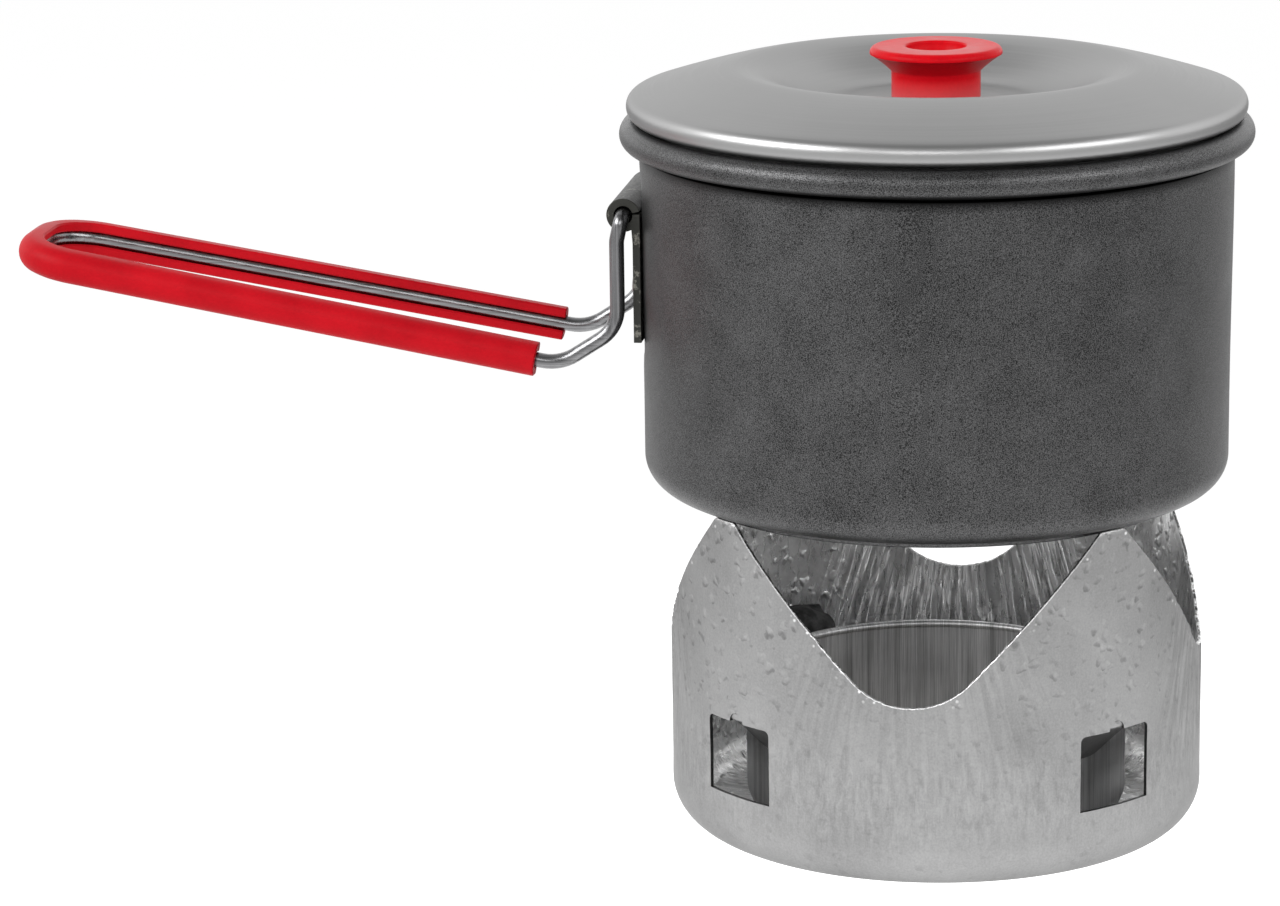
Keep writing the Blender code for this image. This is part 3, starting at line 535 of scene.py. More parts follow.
def shield_look(name, colour, roughness, ridge_highlight_and_bump, blister, low_share):
    """Drawn aluminium sheet: ridges that fan down from the notches, sparse blisters, faint upright drag marks.

    The ridges' crests carry a painted highlight, each blister a painted highlight above and painted shade
    below, and specks of painted highlight lie along the notch edges. ridge_highlight_and_bump and blister are
    the strengths of the ridges and the blisters, low_share is how many blisters lie low on the wall.
    """
    look = Look(name, colour, roughness, 1.0, Specular_Tint=EDGE_GREY)
    angle, reach, inset, x, z = notch_place(look)
    cloud = look.noise(42.0, 3.0)

    warp = look.noise(430.0, 1.0, output="Color")
    bent = look.vector_math("ADD", look.place, look.vector_math("MULTIPLY", warp, BLISTER_WARP))
    # A copy shifted upward: the difference paints each blister lighter on its upper side and darker on its
    # lower side, as painted highlight and painted shade.
    lifted = look.vector_math("ADD", bent, BLISTER_LIGHT)
    dense = look.span(z + cloud * 0.03, 34.0 * MM, 66.0 * MM, low_share, 1.0)
    bumps = blisters(look, bent)
    painted_emboss = bumps - blisters(look, lifted)
    painted_shade_side = look.math("MINIMUM", painted_emboss, 0.0) * blister
    painted_light_side = look.math("MAXIMUM", painted_emboss, 0.0) * (0.45 * blister)

    fan = look.joined(angle * FAN_TURN, z * FAN_CHANGE, x * FAN_CHANGE)
    ridge = look.noise(1.0, 2.0, 0.5, 0.3, place=fan)
    ridge_fade = look.span(reach, 30.0 * MM, 50.0 * MM, 1.0, 0.0)
    ridge_fade = ridge_fade * look.span(look.math("ABSOLUTE", angle), 0.29, FAN_HALF_ANGLE, 1.0, 0.0)
    flank = look.span(look.math("ABSOLUTE", x), 40.0 * MM, 50.0 * MM, 1.0, min(0.3 / ridge_highlight_and_bump, 1.8))
    # Painted highlight on the ridges' crests; the same mask also makes their bump.
    crest = look.span(ridge, 0.44, 0.58, -0.28, 1.0) * (ridge_fade * flank)
    between = 1.0 - ridge_fade * low_share
    # The blisters' painted light and shade, as tone.
    marks = (painted_shade_side + painted_light_side) * dense * between
    mottle = (look.noise(420.0, 2.0, 0.5, 0.6, place=bent) - 0.5) * (low_share - 0.25)

    drag = look.noise(9.0, 3.0, 0.6, 0.6, place=look.cylinder(5.0, 0.0, 26.0))
    fine_drag = look.noise(12.0, 3.0, 0.6, place=look.cylinder(40.0, 0.0, 8.0))
    scuff = look.noise(11.0, 2.0, 0.5, 0.8, place=look.cylinder(1.2, 0.0, 70.0))
    scuffed = look.span(scuff, 0.58, 0.64, 0.0, 0.25 - low_share)
    scuffed = scuffed * look.span(z, 26.0 * MM, 36.0 * MM, 0.8, 0.0)
    low = look.span(z, 6.0 * MM, 16.0 * MM, 0.3, 1.0) * look.span(z, 24.0 * MM, 34.0 * MM, 1.0, 0.25)
    grain = look.noise(2300.0, 2.0)

    tone = (cloud - 0.5) * 0.5 + (drag - 0.5) * 0.65 * low + (fine_drag - 0.5) * 0.15 * low
    tone = tone + (grain - 0.5) * 0.3 + marks * 0.8 + mottle * (between * 1.3) + scuffed + crest * ridge_highlight_and_bump
    base = look.shade(tone, -0.5, 0.5, 0.4, 1.6)

    # Specks of painted highlight close to the notch edges.
    distance, chances = look.spots(look.place, GLINT_SPECK_SCALE)
    glint_specks = look.span(distance, 0.14, 0.26, 1.0, 0.0) * look.span(chances[1], 0.5, 0.6)
    glint_specks = glint_specks * look.span(inset, 0.2 * MM, 2.4 * MM, 1.0, 0.0)
    look.paint(look.mix(glint_specks, base, GLINT_SPECK_GREY))
    look.gloss(drag, roughness - 0.05, roughness + 0.07)
    look.bump(look.noise(300.0, 2.0), 0.12 * MM, 0.35)
    look.bump(bumps * between * dense, 0.16 * MM, 0.5 * blister)
    look.bump(crest, 0.35 * MM, min(2.0 * ridge_highlight_and_bump, 0.9))
    look.bump(drag * low, 0.14 * MM, 0.4)
    look.bump(grain, 0.02 * MM, 0.4)
    return look


def cut_edge_look():
    """Sheared face of the sheet: dark, with nicks across it that crowd together low down; the nicks' pale
    colour is painted highlight.
    """
    look = Look("cut_edge", (0.20, 0.20, 0.205), 0.34, 1.0)
    nicks = look.noise(900.0, 4.0, 0.75)
    z = look.parts(look.place)[2]
    crowd = look.span(z, 46.0 * MM, 62.0 * MM, 0.08, 0.0) + look.span(z, 34.0 * MM, 38.0 * MM, -0.2, 0.0)
    share = look.span(nicks + crowd, 0.54, 0.62)
    look.paint(look.mix(share, NICK_DARK, NICK_GLINT_PALE))
    look.gloss(nicks, 0.24, 0.5)
    look.bump(nicks, 0.2 * MM, 0.9)
    return look


def pitted_look(name, grey, metallic, pits, shades, gloss, bump):
    """Metal whose tone, gloss and height follow one noise: the edge corners with their painted highlight, or
    the dark rolled tab.
    """
    look = Look(name, (grey, grey, grey), gloss[0], metallic)
    pits = look.noise(*pits)
    look.paint(look.shade(pits, *shades))
    look.gloss(pits, *gloss)
    look.bump(pits, *bump)
    return look


def cup_look():
    """Heat-darkened aluminium brushed upright."""
    look = Look("burner_aluminium", (0.76, 0.76, 0.765), 0.36, 1.0)
    streak = look.noise(14.0, 5.0, 0.7, place=look.cylinder(22.0, 0.0, 4.0))
    cloud = look.noise(60.0, 3.0)
    broad = look.noise(3.0, 2.0, 0.6, place=look.cylinder(5.0, 0.0, 0.6))
    tone = (streak * 0.75 + cloud * 0.25) * 0.7 + broad * 0.3
    look.paint(look.shade(tone, 0.38, 0.62, 0.4, 1.55))
    look.gloss(streak, 0.34, 0.52)
    look.bump(streak, 0.05 * MM, 0.6)
    look.bump(look.noise(700.0, 2.0), 0.03 * MM, 0.4)
    return look


def anodised_look(name, colour, roughness, crease_shade):
    """Hard anodised aluminium: fine sandy grain with a faint mottle, and painted shade in the crease under the
    rim.
    """
    look = Look(name, colour, roughness, 0.9)
    below = RIM_MIDDLE - RIM_BELOW - look.parts(look.place)[2]
    # Painted shade in the crease under the rim, fading down the wall.
    painted_crease_shade = look.span(below, 1.0 * MM, 3.2 * MM, crease_shade, 0.0) * look.span(below, -1.1 * MM, -0.4 * MM)
    grain = look.noise(5400.0, 1.0)
    mottle = look.noise(90.0, 4.0, 0.6)
    base = look.shade(grain * 0.85 + mottle * 0.15, 0.38, 0.62, 0.2, 1.9)
    look.paint(look.mix(painted_crease_shade, base, CREASE_SHADE_BLACK))
    look.gloss(mottle, roughness - 0.05, roughness + 0.07)
    look.bump(grain, 0.05 * MM, 0.8)
    return look


def lid_look():
    """Aluminium brushed in rings."""
    look = Look("lid_aluminium", (0.385, 0.385, 0.385), 0.33, 1.0, Specular_Tint=EDGE_GREY)
    ring = look.noise(1.0, 3.0, 0.6, place=look.cylinder(0.35, 1500.0, 0.0))
    cloud = look.noise(35.0, 3.0)
    look.paint(look.shade(ring * 0.7 + cloud * 0.3, *NOISE_SPAN, 0.92, 1.08))
    look.gloss(ring, 0.31, 0.40)
    look.bump(ring, 0.015 * MM, 0.4)
    look.bump(look.noise(2400.0, 2.0), 0.02 * MM, 0.5)
    return look


def wire_look():
    """Drawn steel wire: fine lines that run along it, upright on the legs and along X on the arms."""
    look = Look("wire_steel", (0.22, 0.22, 0.225), 0.26, 1.0)
    on_leg = look.math("GREATER_THAN", look.parts(look.place)[0], -HINGE_X - LEG_OFFSET - 2.0 * MM)
    arm_lines = look.noise(1.0, 3.0, 0.6, place=look.stretched(30.0, 2600.0, 2600.0))
    leg_lines = look.noise(1.0, 3.0, 0.6, place=look.stretched(2600.0, 2600.0, 40.0))
    lines = leg_lines * on_leg + arm_lines * (1.0 - on_leg)
    cloud = look.noise(120.0, 3.0, 0.6)
    look.paint(look.shade(lines * 0.8 + cloud * 0.2, 0.35, 0.65, 0.62, 1.3))
    look.gloss(lines, 0.2, 0.32)
    look.bump(lines, 0.012 * MM, 0.25)
    return look


def red_look(name, colour, roughness, knob):
    """Moulded red silicone: satin, pores, slight cloudiness; on the knob painted shade on the downward-facing
    cone and a painted reflection of the lid on the foot.
    """
    look = Look(name, colour, roughness, 0.0, Specular_IOR_Level=0.3, IOR=1.2)
    pores = look.noise(1500.0, 3.0, 0.6)
    cloud = look.noise(80.0, 3.0, 0.55)
    base = look.shade(pores * 0.3 + cloud * 0.7, 0.35, 0.65, 0.86, 1.12)
    if knob:
        z = look.parts(look.place)[2]
        # Painted shade on the downward-facing cone, and below it a painted reflection of the lid on the foot.
        cone = look.span(z, KNOB_CONE_LOW - 0.1 * MM, KNOB_CONE_LOW + 0.4 * MM, 0.0, 0.1)
        cone = cone * look.span(z, KNOB_TOP - 1.9 * MM, KNOB_TOP - 1.3 * MM, 1.0, 0.0)
        foot = look.span(z, KNOB_Z, KNOB_CONE_LOW - 0.8 * MM, 0.55, 0.0)
        base = look.mix(foot, look.mix(cone, base, CONE_SHADE_RED), LID_REFLECTION_PINK)
    look.paint(base)
    look.gloss(cloud, roughness - 0.05, roughness + 0.08)
    look.bump(pores, 0.04 * MM, 0.55)
    look.bump(cloud, 0.15 * MM, 0.4)
    return look


def bracket_look(name, colour, worn):
    """Dark coated steel whose coat has rubbed through in specks."""
    look = Look(name, colour, 0.42, 0.75)
    grain = look.noise(1500.0, 3.0, 0.65)
    rub = look.noise(420.0, 4.0, 0.7)
    look.paint(look.mix(look.span(rub, 0.62 - worn, 0.72 - worn), (*colour, 1.0), BARE_STEEL))
    look.gloss(grain, 0.38, 0.56)
    look.bump(grain, 0.06 * MM, 0.7)
    return look


def plain_metal_look(name, colour, roughness):
    """Small turned metal pieces: fine rings of tool marks and light spotting."""
    look = Look(name, colour, roughness, 1.0)
    marks = look.noise(1900.0, 2.0, 0.6)
    look.paint(look.shade(look.noise(300.0, 3.0, 0.6), 0.35, 0.65, 0.78, 1.15))
    look.gloss(marks, roughness - 0.07, roughness + 0.1)
    look.bump(marks, 0.03 * MM, 0.6)
    return look


def felt_look():
    """Mineral felt: short matted fibres, singed here and there."""
    look = Look("pad_fibre", (0.60, 0.58, 0.53), 0.95, 0.0, Sheen_Weight=0.2)
    fibres = look.noise(1600.0, 4.0, 0.7, 1.5, place=look.stretched(1.0, 1.0, 3.0))
    singe = look.noise(70.0, 3.0)
    look.paint(look.shade(fibres * 0.5 + singe * 0.5, 0.35, 0.65, 0.55, 1.15))
    look.bump(fibres, 0.3 * MM, 0.8)
    return look


# Windshield


def from_notch(azimuth):
    """Arc length from the middle of the nearest notch."""
    return ((azimuth + QUARTER / 2.0) % QUARTER - QUARTER / 2.0) * SHIELD_RADIUS


def notch_edge(along):
    """Height of the wall's edge at this arc length from the middle of a notch."""
    along = abs(along)
    if along < NOTCH_ROUND * sqrt(0.5):
        return NOTCH_FLOOR + NOTCH_ROUND - sqrt(NOTCH_ROUND**2 - along**2)
    return min(NOTCH_APEX + along, SHIELD_TOP)


def wrinkle(azimuth, height):
    """How far the sheet is drawn inward here, in metres, from 0 up."""
    index = floor((azimuth + QUARTER / 2.0) / QUARTER) % 4
    along = from_notch(azimuth)
    angle = atan2(along, max(NOTCH_FLOOR + FAN_RISE - height, 0.1 * MM))
    reach = hypot(along, NOTCH_FLOOR + NOTCH_ROUND - height)
    ridge = noise.noise(Vector((angle * FAN_TURN, height * 45.0, index * 7.3)))
    strength = smooth_step((46.0 * MM - reach) / (20.0 * MM))
    strength *= smooth_step((FAN_HALF_ANGLE - abs(angle)) / 0.12)
    folds = FOLD_DEPTH * strength * max(ridge + 0.2, 0.0)
    low_part = exp(-((height - 18.0 * MM) / (10.0 * MM)) ** 2)
    drag = noise.noise(Vector((along * 300.0, height * 40.0, index * 3.1 + 40.0)))
    spot = Vector((sin(azimuth) * SHIELD_RADIUS, -cos(azimuth) * SHIELD_RADIUS, height))
    peel = PEEL_DEPTH * (0.5 + 0.5 * noise.noise(spot * 240.0))
    drawn = DRAG_DEPTH * low_part * (0.5 + 0.5 * drag)
    fade = smooth_step((height - 6.0 * MM) / (8.0 * MM))
    for hole in HOLE_AZIMUTHS:
        apart = (degrees(azimuth) - hole + 180.0) % 360.0 - 180.0
        side = abs(radians(apart)) * SHIELD_RADIUS
        beside = smooth_step((side - HOLE_HALF_WIDTH) / (3.0 * MM))
        above = smooth_step((abs(height - HOLE_TOP) - 2.0 * MM) / (3.0 * MM))
        fade *= max(beside, above)
    return folds + (drawn + peel) * fade


def shield_rows(edge):
    """Heights of the wall's vertices in a column, from the corner up to this edge."""
    low = [SHIELD_CORNER + (HOLE_LOW - SHIELD_CORNER) * i / 7 for i in range(7)]
    mid = [HOLE_LOW + (LEVEL_ROWS_TOP - HOLE_LOW) * i / 26 for i in range(26)]
    top = [LEVEL_ROWS_TOP + (edge - LEVEL_ROWS_TOP) * (i / 34) for i in range(35)]
    return low + mid + top


def shield_mesh():
    """The windshield without its holes. Face looks: 0 outside, 1 sheared edge, 2 inside (painted brighter), 3
    edge corners (painted highlight).
    """
    vertices, faces, looks, columns = [], [], [], []
    base = SHIELD_RADIUS - SHIELD_CORNER
    floor_rows = 10
    for c in range(SHIELD_COLUMNS):
        azimuth = TURN * c / SHIELD_COLUMNS
        edge = notch_edge(from_notch(azimuth))
        nick = 0.5 + 0.5 * noise.noise(Vector((azimuth * 60.0, 3.7, 0.0)))
        edge -= EDGE_NICKS * nick * smooth_step((SHIELD_TOP - edge) / (3.0 * MM))
        outer = [(base * (i + 1) / floor_rows, 0.0) for i in range(floor_rows - 1)]
        outer += arc((base, SHIELD_CORNER), SHIELD_CORNER, -90.0, 0.0, 12)[:-1]
        rows = shield_rows(edge - OUTER_BEVEL)
        wall = [(SHIELD_RADIUS - wrinkle(azimuth, z), z) for z in rows]
        inside = SHIELD_RADIUS - SHIELD_SHEET
        back = [(inside - wrinkle(azimuth, z), z) for z in rows[::-1]]
        crown = [(wall[-1][0] - OUTER_BEVEL, edge), (back[0][0] + INNER_BEVEL, edge)]
        inner = arc((base, SHIELD_CORNER), SHIELD_CORNER - SHIELD_SHEET, 0.0, -90.0, 12)[1:]
        inner += [(base * (i + 1) / floor_rows, SHIELD_SHEET) for i in range(floor_rows - 1)][::-1]
        section = outer + wall + crown + back + inner
        edge_from = len(outer) + len(wall) - 1
        columns.append(list(range(len(vertices), len(vertices) + len(section))))
        east, north = sin(azimuth), -cos(azimuth)
        vertices += [(r * east, r * north, z) for r, z in section]
    under = len(vertices)
    vertices += [(0.0, 0.0, 0.0), (0.0, 0.0, SHIELD_SHEET)]
    for c, column in enumerate(columns):
        following = columns[(c + 1) % SHIELD_COLUMNS]
        for k in range(len(column) - 1):
            faces.append((column[k], following[k], following[k + 1], column[k + 1]))
            band = k - edge_from
            looks.append(0 if band < 0 else (3, 1, 3, 2)[min(band, 3)])
        faces.append((under, following[0], column[0]))
        faces.append((under + 1, column[-1], following[-1]))
        looks += [0, 2]
    return vertices, faces, looks


def frame_at(azimuth_degrees):
    """Unit vectors at an azimuth: outward, and to the right as seen from outside."""
    angle = radians(azimuth_degrees)
    outward = Vector((sin(angle), -cos(angle), 0.0))
    return outward, Vector((cos(angle), sin(angle), 0.0))


def hole_cutter(looks):
    """Four blocks, each a box with rounded upper corners and a round relief, for one Boolean."""
    outline = [(-HOLE_HALF_WIDTH, HOLE_LOW), (HOLE_HALF_WIDTH, HOLE_LOW)]
    outline += arc((HOLE_HALF_WIDTH - HOLE_CORNER, HOLE_TOP - HOLE_CORNER), HOLE_CORNER, 0.0, 90.0, 4)
    outline += arc((0.0, HOLE_TOP), HOLE_RELIEF, 0.0, 180.0, 12)
    outline += arc((HOLE_CORNER - HOLE_HALF_WIDTH, HOLE_TOP - HOLE_CORNER), HOLE_CORNER, 90.0, 180.0, 4)
    vertices, faces = [], []
    for azimuth in HOLE_AZIMUTHS:
        outward, right = frame_at(azimuth)
        stations = [(outward * reach, right, UP) for reach in CUTTER_REACH]
        more, sides, _ = sweep(outline, stations)
        faces += [[v + len(vertices) for v in f] for f in sides]
        vertices += more
    mesh = mesh_of("hole_cutter", (vertices, faces, [1] * len(faces)), looks)
    outward_faces(mesh)
    return placed("hole_cutter", mesh)


def make_shield(*looks):
    shell = piece("windshield_shell", shield_mesh(), looks, "stand", ["windshield"], 60.0)
    cutter = hole_cutter(looks)
    modifier = shell.modifiers.new("holes", "BOOLEAN")
    modifier.operation = "DIFFERENCE"
    modifier.solver = "EXACT"
    modifier.object = cutter
    graph = bpy.context.evaluated_depsgraph_get()
    cut = bpy.data.meshes.new_from_object(shell.evaluated_get(graph))
    shell.modifiers.clear()
    shell.data = cut
    cut.set_sharp_from_angle(angle=radians(50.0))
    bpy.data.objects.remove(cutter, do_unlink=True)


def tab_path(curled):
    """Middle line of a flap in the radial plane, from inside the wall round the fold and inward."""
    middle = SHIELD_RADIUS - SHIELD_SHEET / 2.0 - TAB_SINK
    if curled:
        lift = degrees(asin(SHIELD_SHEET / CURL_RADIUS))
        centre = (middle - CURL_RADIUS * cos(radians(lift)), HOLE_TOP)
        points = [Vector(p) for p in arc(centre, CURL_RADIUS, lift, 180.0, 20)]
        return points + [points[-1] - Vector((0.0, CURL_HANG * (i + 1) / 6)) for i in range(6)]
    fold = (middle - TAB_FOLD, HOLE_TOP + TAB_SHEET / 2.0 + TAB_FOLD)
    points = [Vector((middle, fold[1] + 0.6 * MM))] + [Vector(p) for p in arc(fold, TAB_FOLD, 0.0, -80.0, 8)]
    root = points[-1]
    reach = root.x - TAB_TIP_RADIUS
    drop = TAB_DROP - (HOLE_TOP + SHIELD_SHEET - root.y)
    for i in range(1, TAB_ROWS + 1):
        share = i / TAB_ROWS
        points.append(Vector((root.x - reach * share, root.y - drop * share**TAB_CURVE)))
    return points


def tab_mesh(index, azimuth, vertices, faces, looks):
    """Adds one flap: face looks are 0 for the sheet and 1 for its sheared edge, which carries a painted
    highlight.
    """
    outward, right = frame_at(azimuth)
    path = tab_path(index == CURLED_TAB)
    last = len(path) - 1
    row = 2 * (TAB_COLUMNS + 1)
    offset = len(vertices)
    for i, point in enumerate(path):
        tangent = (path[min(i + 1, last)] - path[max(i - 1, 0)]).normalized()
        normal = Vector((-tangent.y, tangent.x))
        end = max(i / last - 0.8, 0.0) / 0.2
        half = TAB_HALF_WIDTH - TAB_CORNER * (1.0 - sqrt(max(1.0 - (0.985 * end) ** 2, 0.0)))
        calm = min(i / 8.0, (last - i) / 3.0, 1.0)  # no ripple at the ends
        for sign in (1.0, -1.0):
            for j in range(TAB_COLUMNS + 1):
                side = half * (2.0 * j / TAB_COLUMNS - 1.0) * sign
                ripple = TAB_RIPPLE * noise.noise(Vector((side * 260.0, i * 0.33, index * 5.0)))
                spot = point + normal * (sign * TAB_SHEET / 2.0 + ripple * calm)
                if index == CURLED_TAB:
                    slump = CURL_SLUMP + CURL_DROOP * smooth_step(abs(side) / TAB_HALF_WIDTH) ** 2
                    spot.y -= slump * smooth_step(i / 8.0)
                recede = SHIELD_RADIUS - sqrt(SHIELD_RADIUS**2 - side**2)
                vertices.append(outward * (spot.x - recede) + right * side + UP * spot.y)
    faces += tube_faces(offset, row, len(path))
    looks += [1 if k in (TAB_COLUMNS, row - 1) else 0 for k in range(row)] * last + [1, 1]


def make_tabs(sheet, painted_glint, dark_rolled_tab):
    """The three bent flaps in one piece and the rolled, dark one in another."""
    bent, curled = ([], [], []), ([], [], [])
    for index, azimuth in enumerate(HOLE_AZIMUTHS):
        tab_mesh(index, azimuth, *(curled if index == CURLED_TAB else bent))
    piece("windshield_tabs", bent, [sheet, painted_glint], "stand", [], 50.0)
    piece("windshield_tab_rolled", curled, [dark_rolled_tab, painted_glint], "stand", [], 50.0)


# Burner


def make_cup(look):
    corner_centre = (CUP_RADIUS - CUP_CORNER, CUP_Z + CUP_CORNER)
    section = [(0.0, CUP_Z)] + line((4.0 * MM, CUP_Z), (CUP_RADIUS - CUP_CORNER, CUP_Z), 6)
    section += arc(corner_centre, CUP_CORNER, -90.0, 0.0, 12)
    section += line((CUP_RADIUS, CUP_Z + CUP_CORNER + 1.0 * MM), (CUP_RADIUS, CUP_WALL_TOP), 10)
    section += arc((CUP_RADIUS - CUP_SHEET / 2.0, CUP_TOP - CUP_RIM), CUP_RIM, -62.0, 242.0, 18)
    inside = CUP_RADIUS - CUP_SHEET
    section += line((inside, CUP_WALL_TOP), (inside, CUP_Z + CUP_CORNER), 10)
    section += arc(corner_centre, CUP_CORNER - CUP_SHEET, 0.0, -90.0, 12)
    section += [(0.0, CUP_Z + CUP_SHEET)]
    piece("burner_cup_shell", lathe(section, CUP_TURN), [look], "burner", ["burner_cup"])


# Pot


def press_seat(point):
    """Widens the pot's wall a little towards the rim, and presses it flat behind the bracket."""
    x, y, z = point
    strength = smooth_step((z - SEAT_LOW) / SEAT_BLEND + 1.0)
    strength *= smooth_step((SEAT_HIGH - z) / SEAT_BLEND + 1.0)
    outside = hypot(x, y) > POT_RADIUS - POT_SHEET / 2.0
    limit = SEAT_X if outside else SEAT_X - POT_SHEET
    if hypot(x, y) <= POT_RADIUS + 0.3 * MM:  # not the rim
        risen = (z - POT_FLARE_LOW) / (RIM_TOP - 10.0 * MM - POT_FLARE_LOW)
        flare = 1.0 + POT_FLARE / POT_RADIUS * smooth_step(risen)
        x, y = x * flare, y * flare
    return Vector((x + strength * max(-x - limit, 0.0), y, z))


def pot_section():
    """The pot's outline, and the look of each of its segments: 0 outside, 1 inside."""
    centre = (POT_RADIUS - POT_CORNER, POT_UNDERSIDE + POT_CORNER)
    step = 0.5 * MM
    pad, hub = POT_PAD_UNDERSIDE, 6.0 * MM
    outer = [(0.0, pad)] + line((hub, pad), (POT_PAD_RADIUS - step, pad), 8)
    outer += arc((POT_PAD_RADIUS - step, pad + step), step, -90.0, 0.0, 4)
    outer.append((POT_PAD_RADIUS + 0.2 * MM, POT_UNDERSIDE - 0.25 * MM))
    outer.append((POT_PAD_RADIUS + 0.5 * MM, POT_UNDERSIDE))
    outer += arc(centre, POT_CORNER, -90.0, 0.0, 16)
    bead_inner = POT_RADIUS - POT_SHEET
    half = (RIM_OVERHANG + POT_SHEET) / 2.0
    bead = (bead_inner + half, RIM_MIDDLE)
    start = -acos((POT_RADIUS - bead[0]) / half)
    crease = bead[1] + RIM_BELOW * sin(start)
    outer += line((POT_RADIUS, centre[1] + 1.5 * MM), (POT_RADIUS, crease - 1.5 * MM), 26)
    neck = POT_RADIUS - RIM_NECK
    outer += [(POT_RADIUS, crease - 1.5 * MM), (neck, crease - 1.0 * MM), (neck, crease + 0.5 * MM)]
    start += RIM_SLOT / half
    steps = 30
    for i in range(steps + 1):
        angle = start + (pi - start) * i / steps
        rise = (RIM_ABOVE if angle > 0.0 else RIM_BELOW) * sin(angle)
        outer.append((bead[0] + half * cos(angle), bead[1] + rise))
    turn = len(outer)
    inner = line((bead_inner, bead[1] - 1.0 * MM), (bead_inner, centre[1]), 26)
    inner += arc(centre, POT_CORNER - POT_SHEET, 0.0, -90.0, 12)
    pad_edge, pad_floor = (POT_PAD_RADIUS - 1.5 * MM, pad + POT_SHEET), (hub, pad + POT_SHEET)
    inner += line((POT_PAD_RADIUS, POT_UNDERSIDE + POT_SHEET), pad_edge, 3) + line(pad_edge, pad_floor, 6)
    inner += [(0.0, pad + POT_SHEET)]
    return outer + inner, [0] * turn + [1] * len(inner)


def make_pot(outside, inside):
    section, bands = pot_section()
    shape = lathe(section, LARGE_TURN, press_seat, bands)
    piece("pot_shell", shape, [outside, inside], "pot", ["pot"], 40.0)


# Handle


def from_hinge(outward, side, up):
    return Vector((-HINGE_X - outward, side, HINGE_Z + up))


def on_arm(run, side):
    """A point of an arm's middle line."""
    return from_hinge(run, side, -KNEE_DROP + (run - KNEE_RUN) * tan(ARM_SLOPE))


LOOP_CORNER = on_arm(ARM_RUN, -TIP_HALF_WIDTH)


def both_arms(corners):
    """The corners of one arm, followed by the other arm's in reverse."""
    return corners + [(Vector((p.x, -p.y, p.z)), radius) for p, radius in reversed(corners)]


def make_bracket(*looks):
    centre = (HINGE_X, HINGE_Z)
    join = -degrees(acos((PLATE_SHEET - KNUCKLE_RADIUS) / KNUCKLE_RADIUS))
    outside = arc(centre, KNUCKLE_RADIUS, join + 4.0, 167.0, 44)
    bore = arc(centre, KNUCKLE_INSIDE, 167.0, -184.0, 48)
    top = arc(centre, KNUCKLE_RADIUS, 176.0, 176.0, 1)[:1]
    outer_face = PLATE_INNER + PLATE_SHEET
    rise = line((outer_face, PLATE_LOW), (outer_face, HINGE_Z - KNUCKLE_RADIUS), 10)
    section = rise + outside + bore + top + line((PLATE_INNER, HINGE_Z), (PLATE_INNER, PLATE_LOW), 10)
    section.append((PLATE_INNER, PLATE_LOW))
    out = Vector((-1.0, 0.0, 0.0))
    half = PLATE_HALF_WIDTH
    ends = (-half, -half + 0.1 * MM, half - 0.1 * MM, half)
    shape = sweep(section, [(Vector((0.0, y, 0.0)), out, UP) for y in ends], 1)
    bracket = piece("handle_bracket_plate", shape, looks, "pot", ["handle_bracket"])
    bevel(bracket, "edges", 0.18 * MM, 2, 50.0).material = 1


def make_rivets(look):
    """Domed heads outside and inside, each over the CAD rivet that it stands for."""
    outer = PLATE_INNER + PLATE_SHEET + 0.3 * MM
    inner = SEAT_X - POT_SHEET - 0.3 * MM
    shank = 1.5 * MM
    angles = [pi / 2.0 * i / 10 for i in range(11)]
    head = [(RIVET_HEAD * sin(a), RIVET_HEIGHT * cos(a)) for a in angles]
    section = [(r, outer + h) for r, h in head] + [(shank, outer), (shank, inner)]
    section += [(r, inner - h) for r, h in head[::-1]]
    for name, y in (("left", -RIVET_Y), ("right", RIVET_Y)):
        vertices, faces, looks = lathe(section, RIVET_TURN)
        vertices = [(-v.z, y + v.x, RIVET_Z + v.y) for v in vertices]
        node = f"bracket_rivet_{name}"
        piece(f"{node}_dome", (vertices, faces, looks), [look], "pot", [node])


def direction(points, i):
    """Unit vector along a path at its point i."""
    return (points[min(i + 1, len(points) - 1)] - points[max(i - 1, 0)]).normalized()


def tube_stations(points):
    """Frames along a path, turned as little as possible from one to the next."""
    stations = []
    side = None
    for i, point in enumerate(points):
        along = direction(points, i)
        side = along.orthogonal() if side is None else side - along * side.dot(along)
        side.normalize()
        stations.append((point, side.copy(), along.cross(side)))
    return stations


def make_wire(look):
    half = LOOP_HALF_WIDTH
    corners = both_arms([
        (from_hinge(0.0, -STUB_END, 0.0), 0.0),
        (from_hinge(0.0, -half, 0.0), STUB_BEND),
        (from_hinge(LEG_OFFSET, -half, -LEG_START_DROP), LEG_START_BEND),
        (from_hinge(LEG_OFFSET, -half, -LEG_DROP), LEG_BEND),
        (from_hinge(KNEE_RUN, -half, -KNEE_DROP), KNEE_BEND),
        (LOOP_CORNER, LOOP_BEND),
    ])
    points = rounded(corners, 6.0, 3.0 * MM)
    ring = arc((0.0, 0.0), WIRE_RADIUS, 0.0, 345.0, 23)
    shape = sweep(ring, tube_stations(points))
    piece("handle_wire_loop", shape, [look], "handle", ["handle_wire"], 60.0)


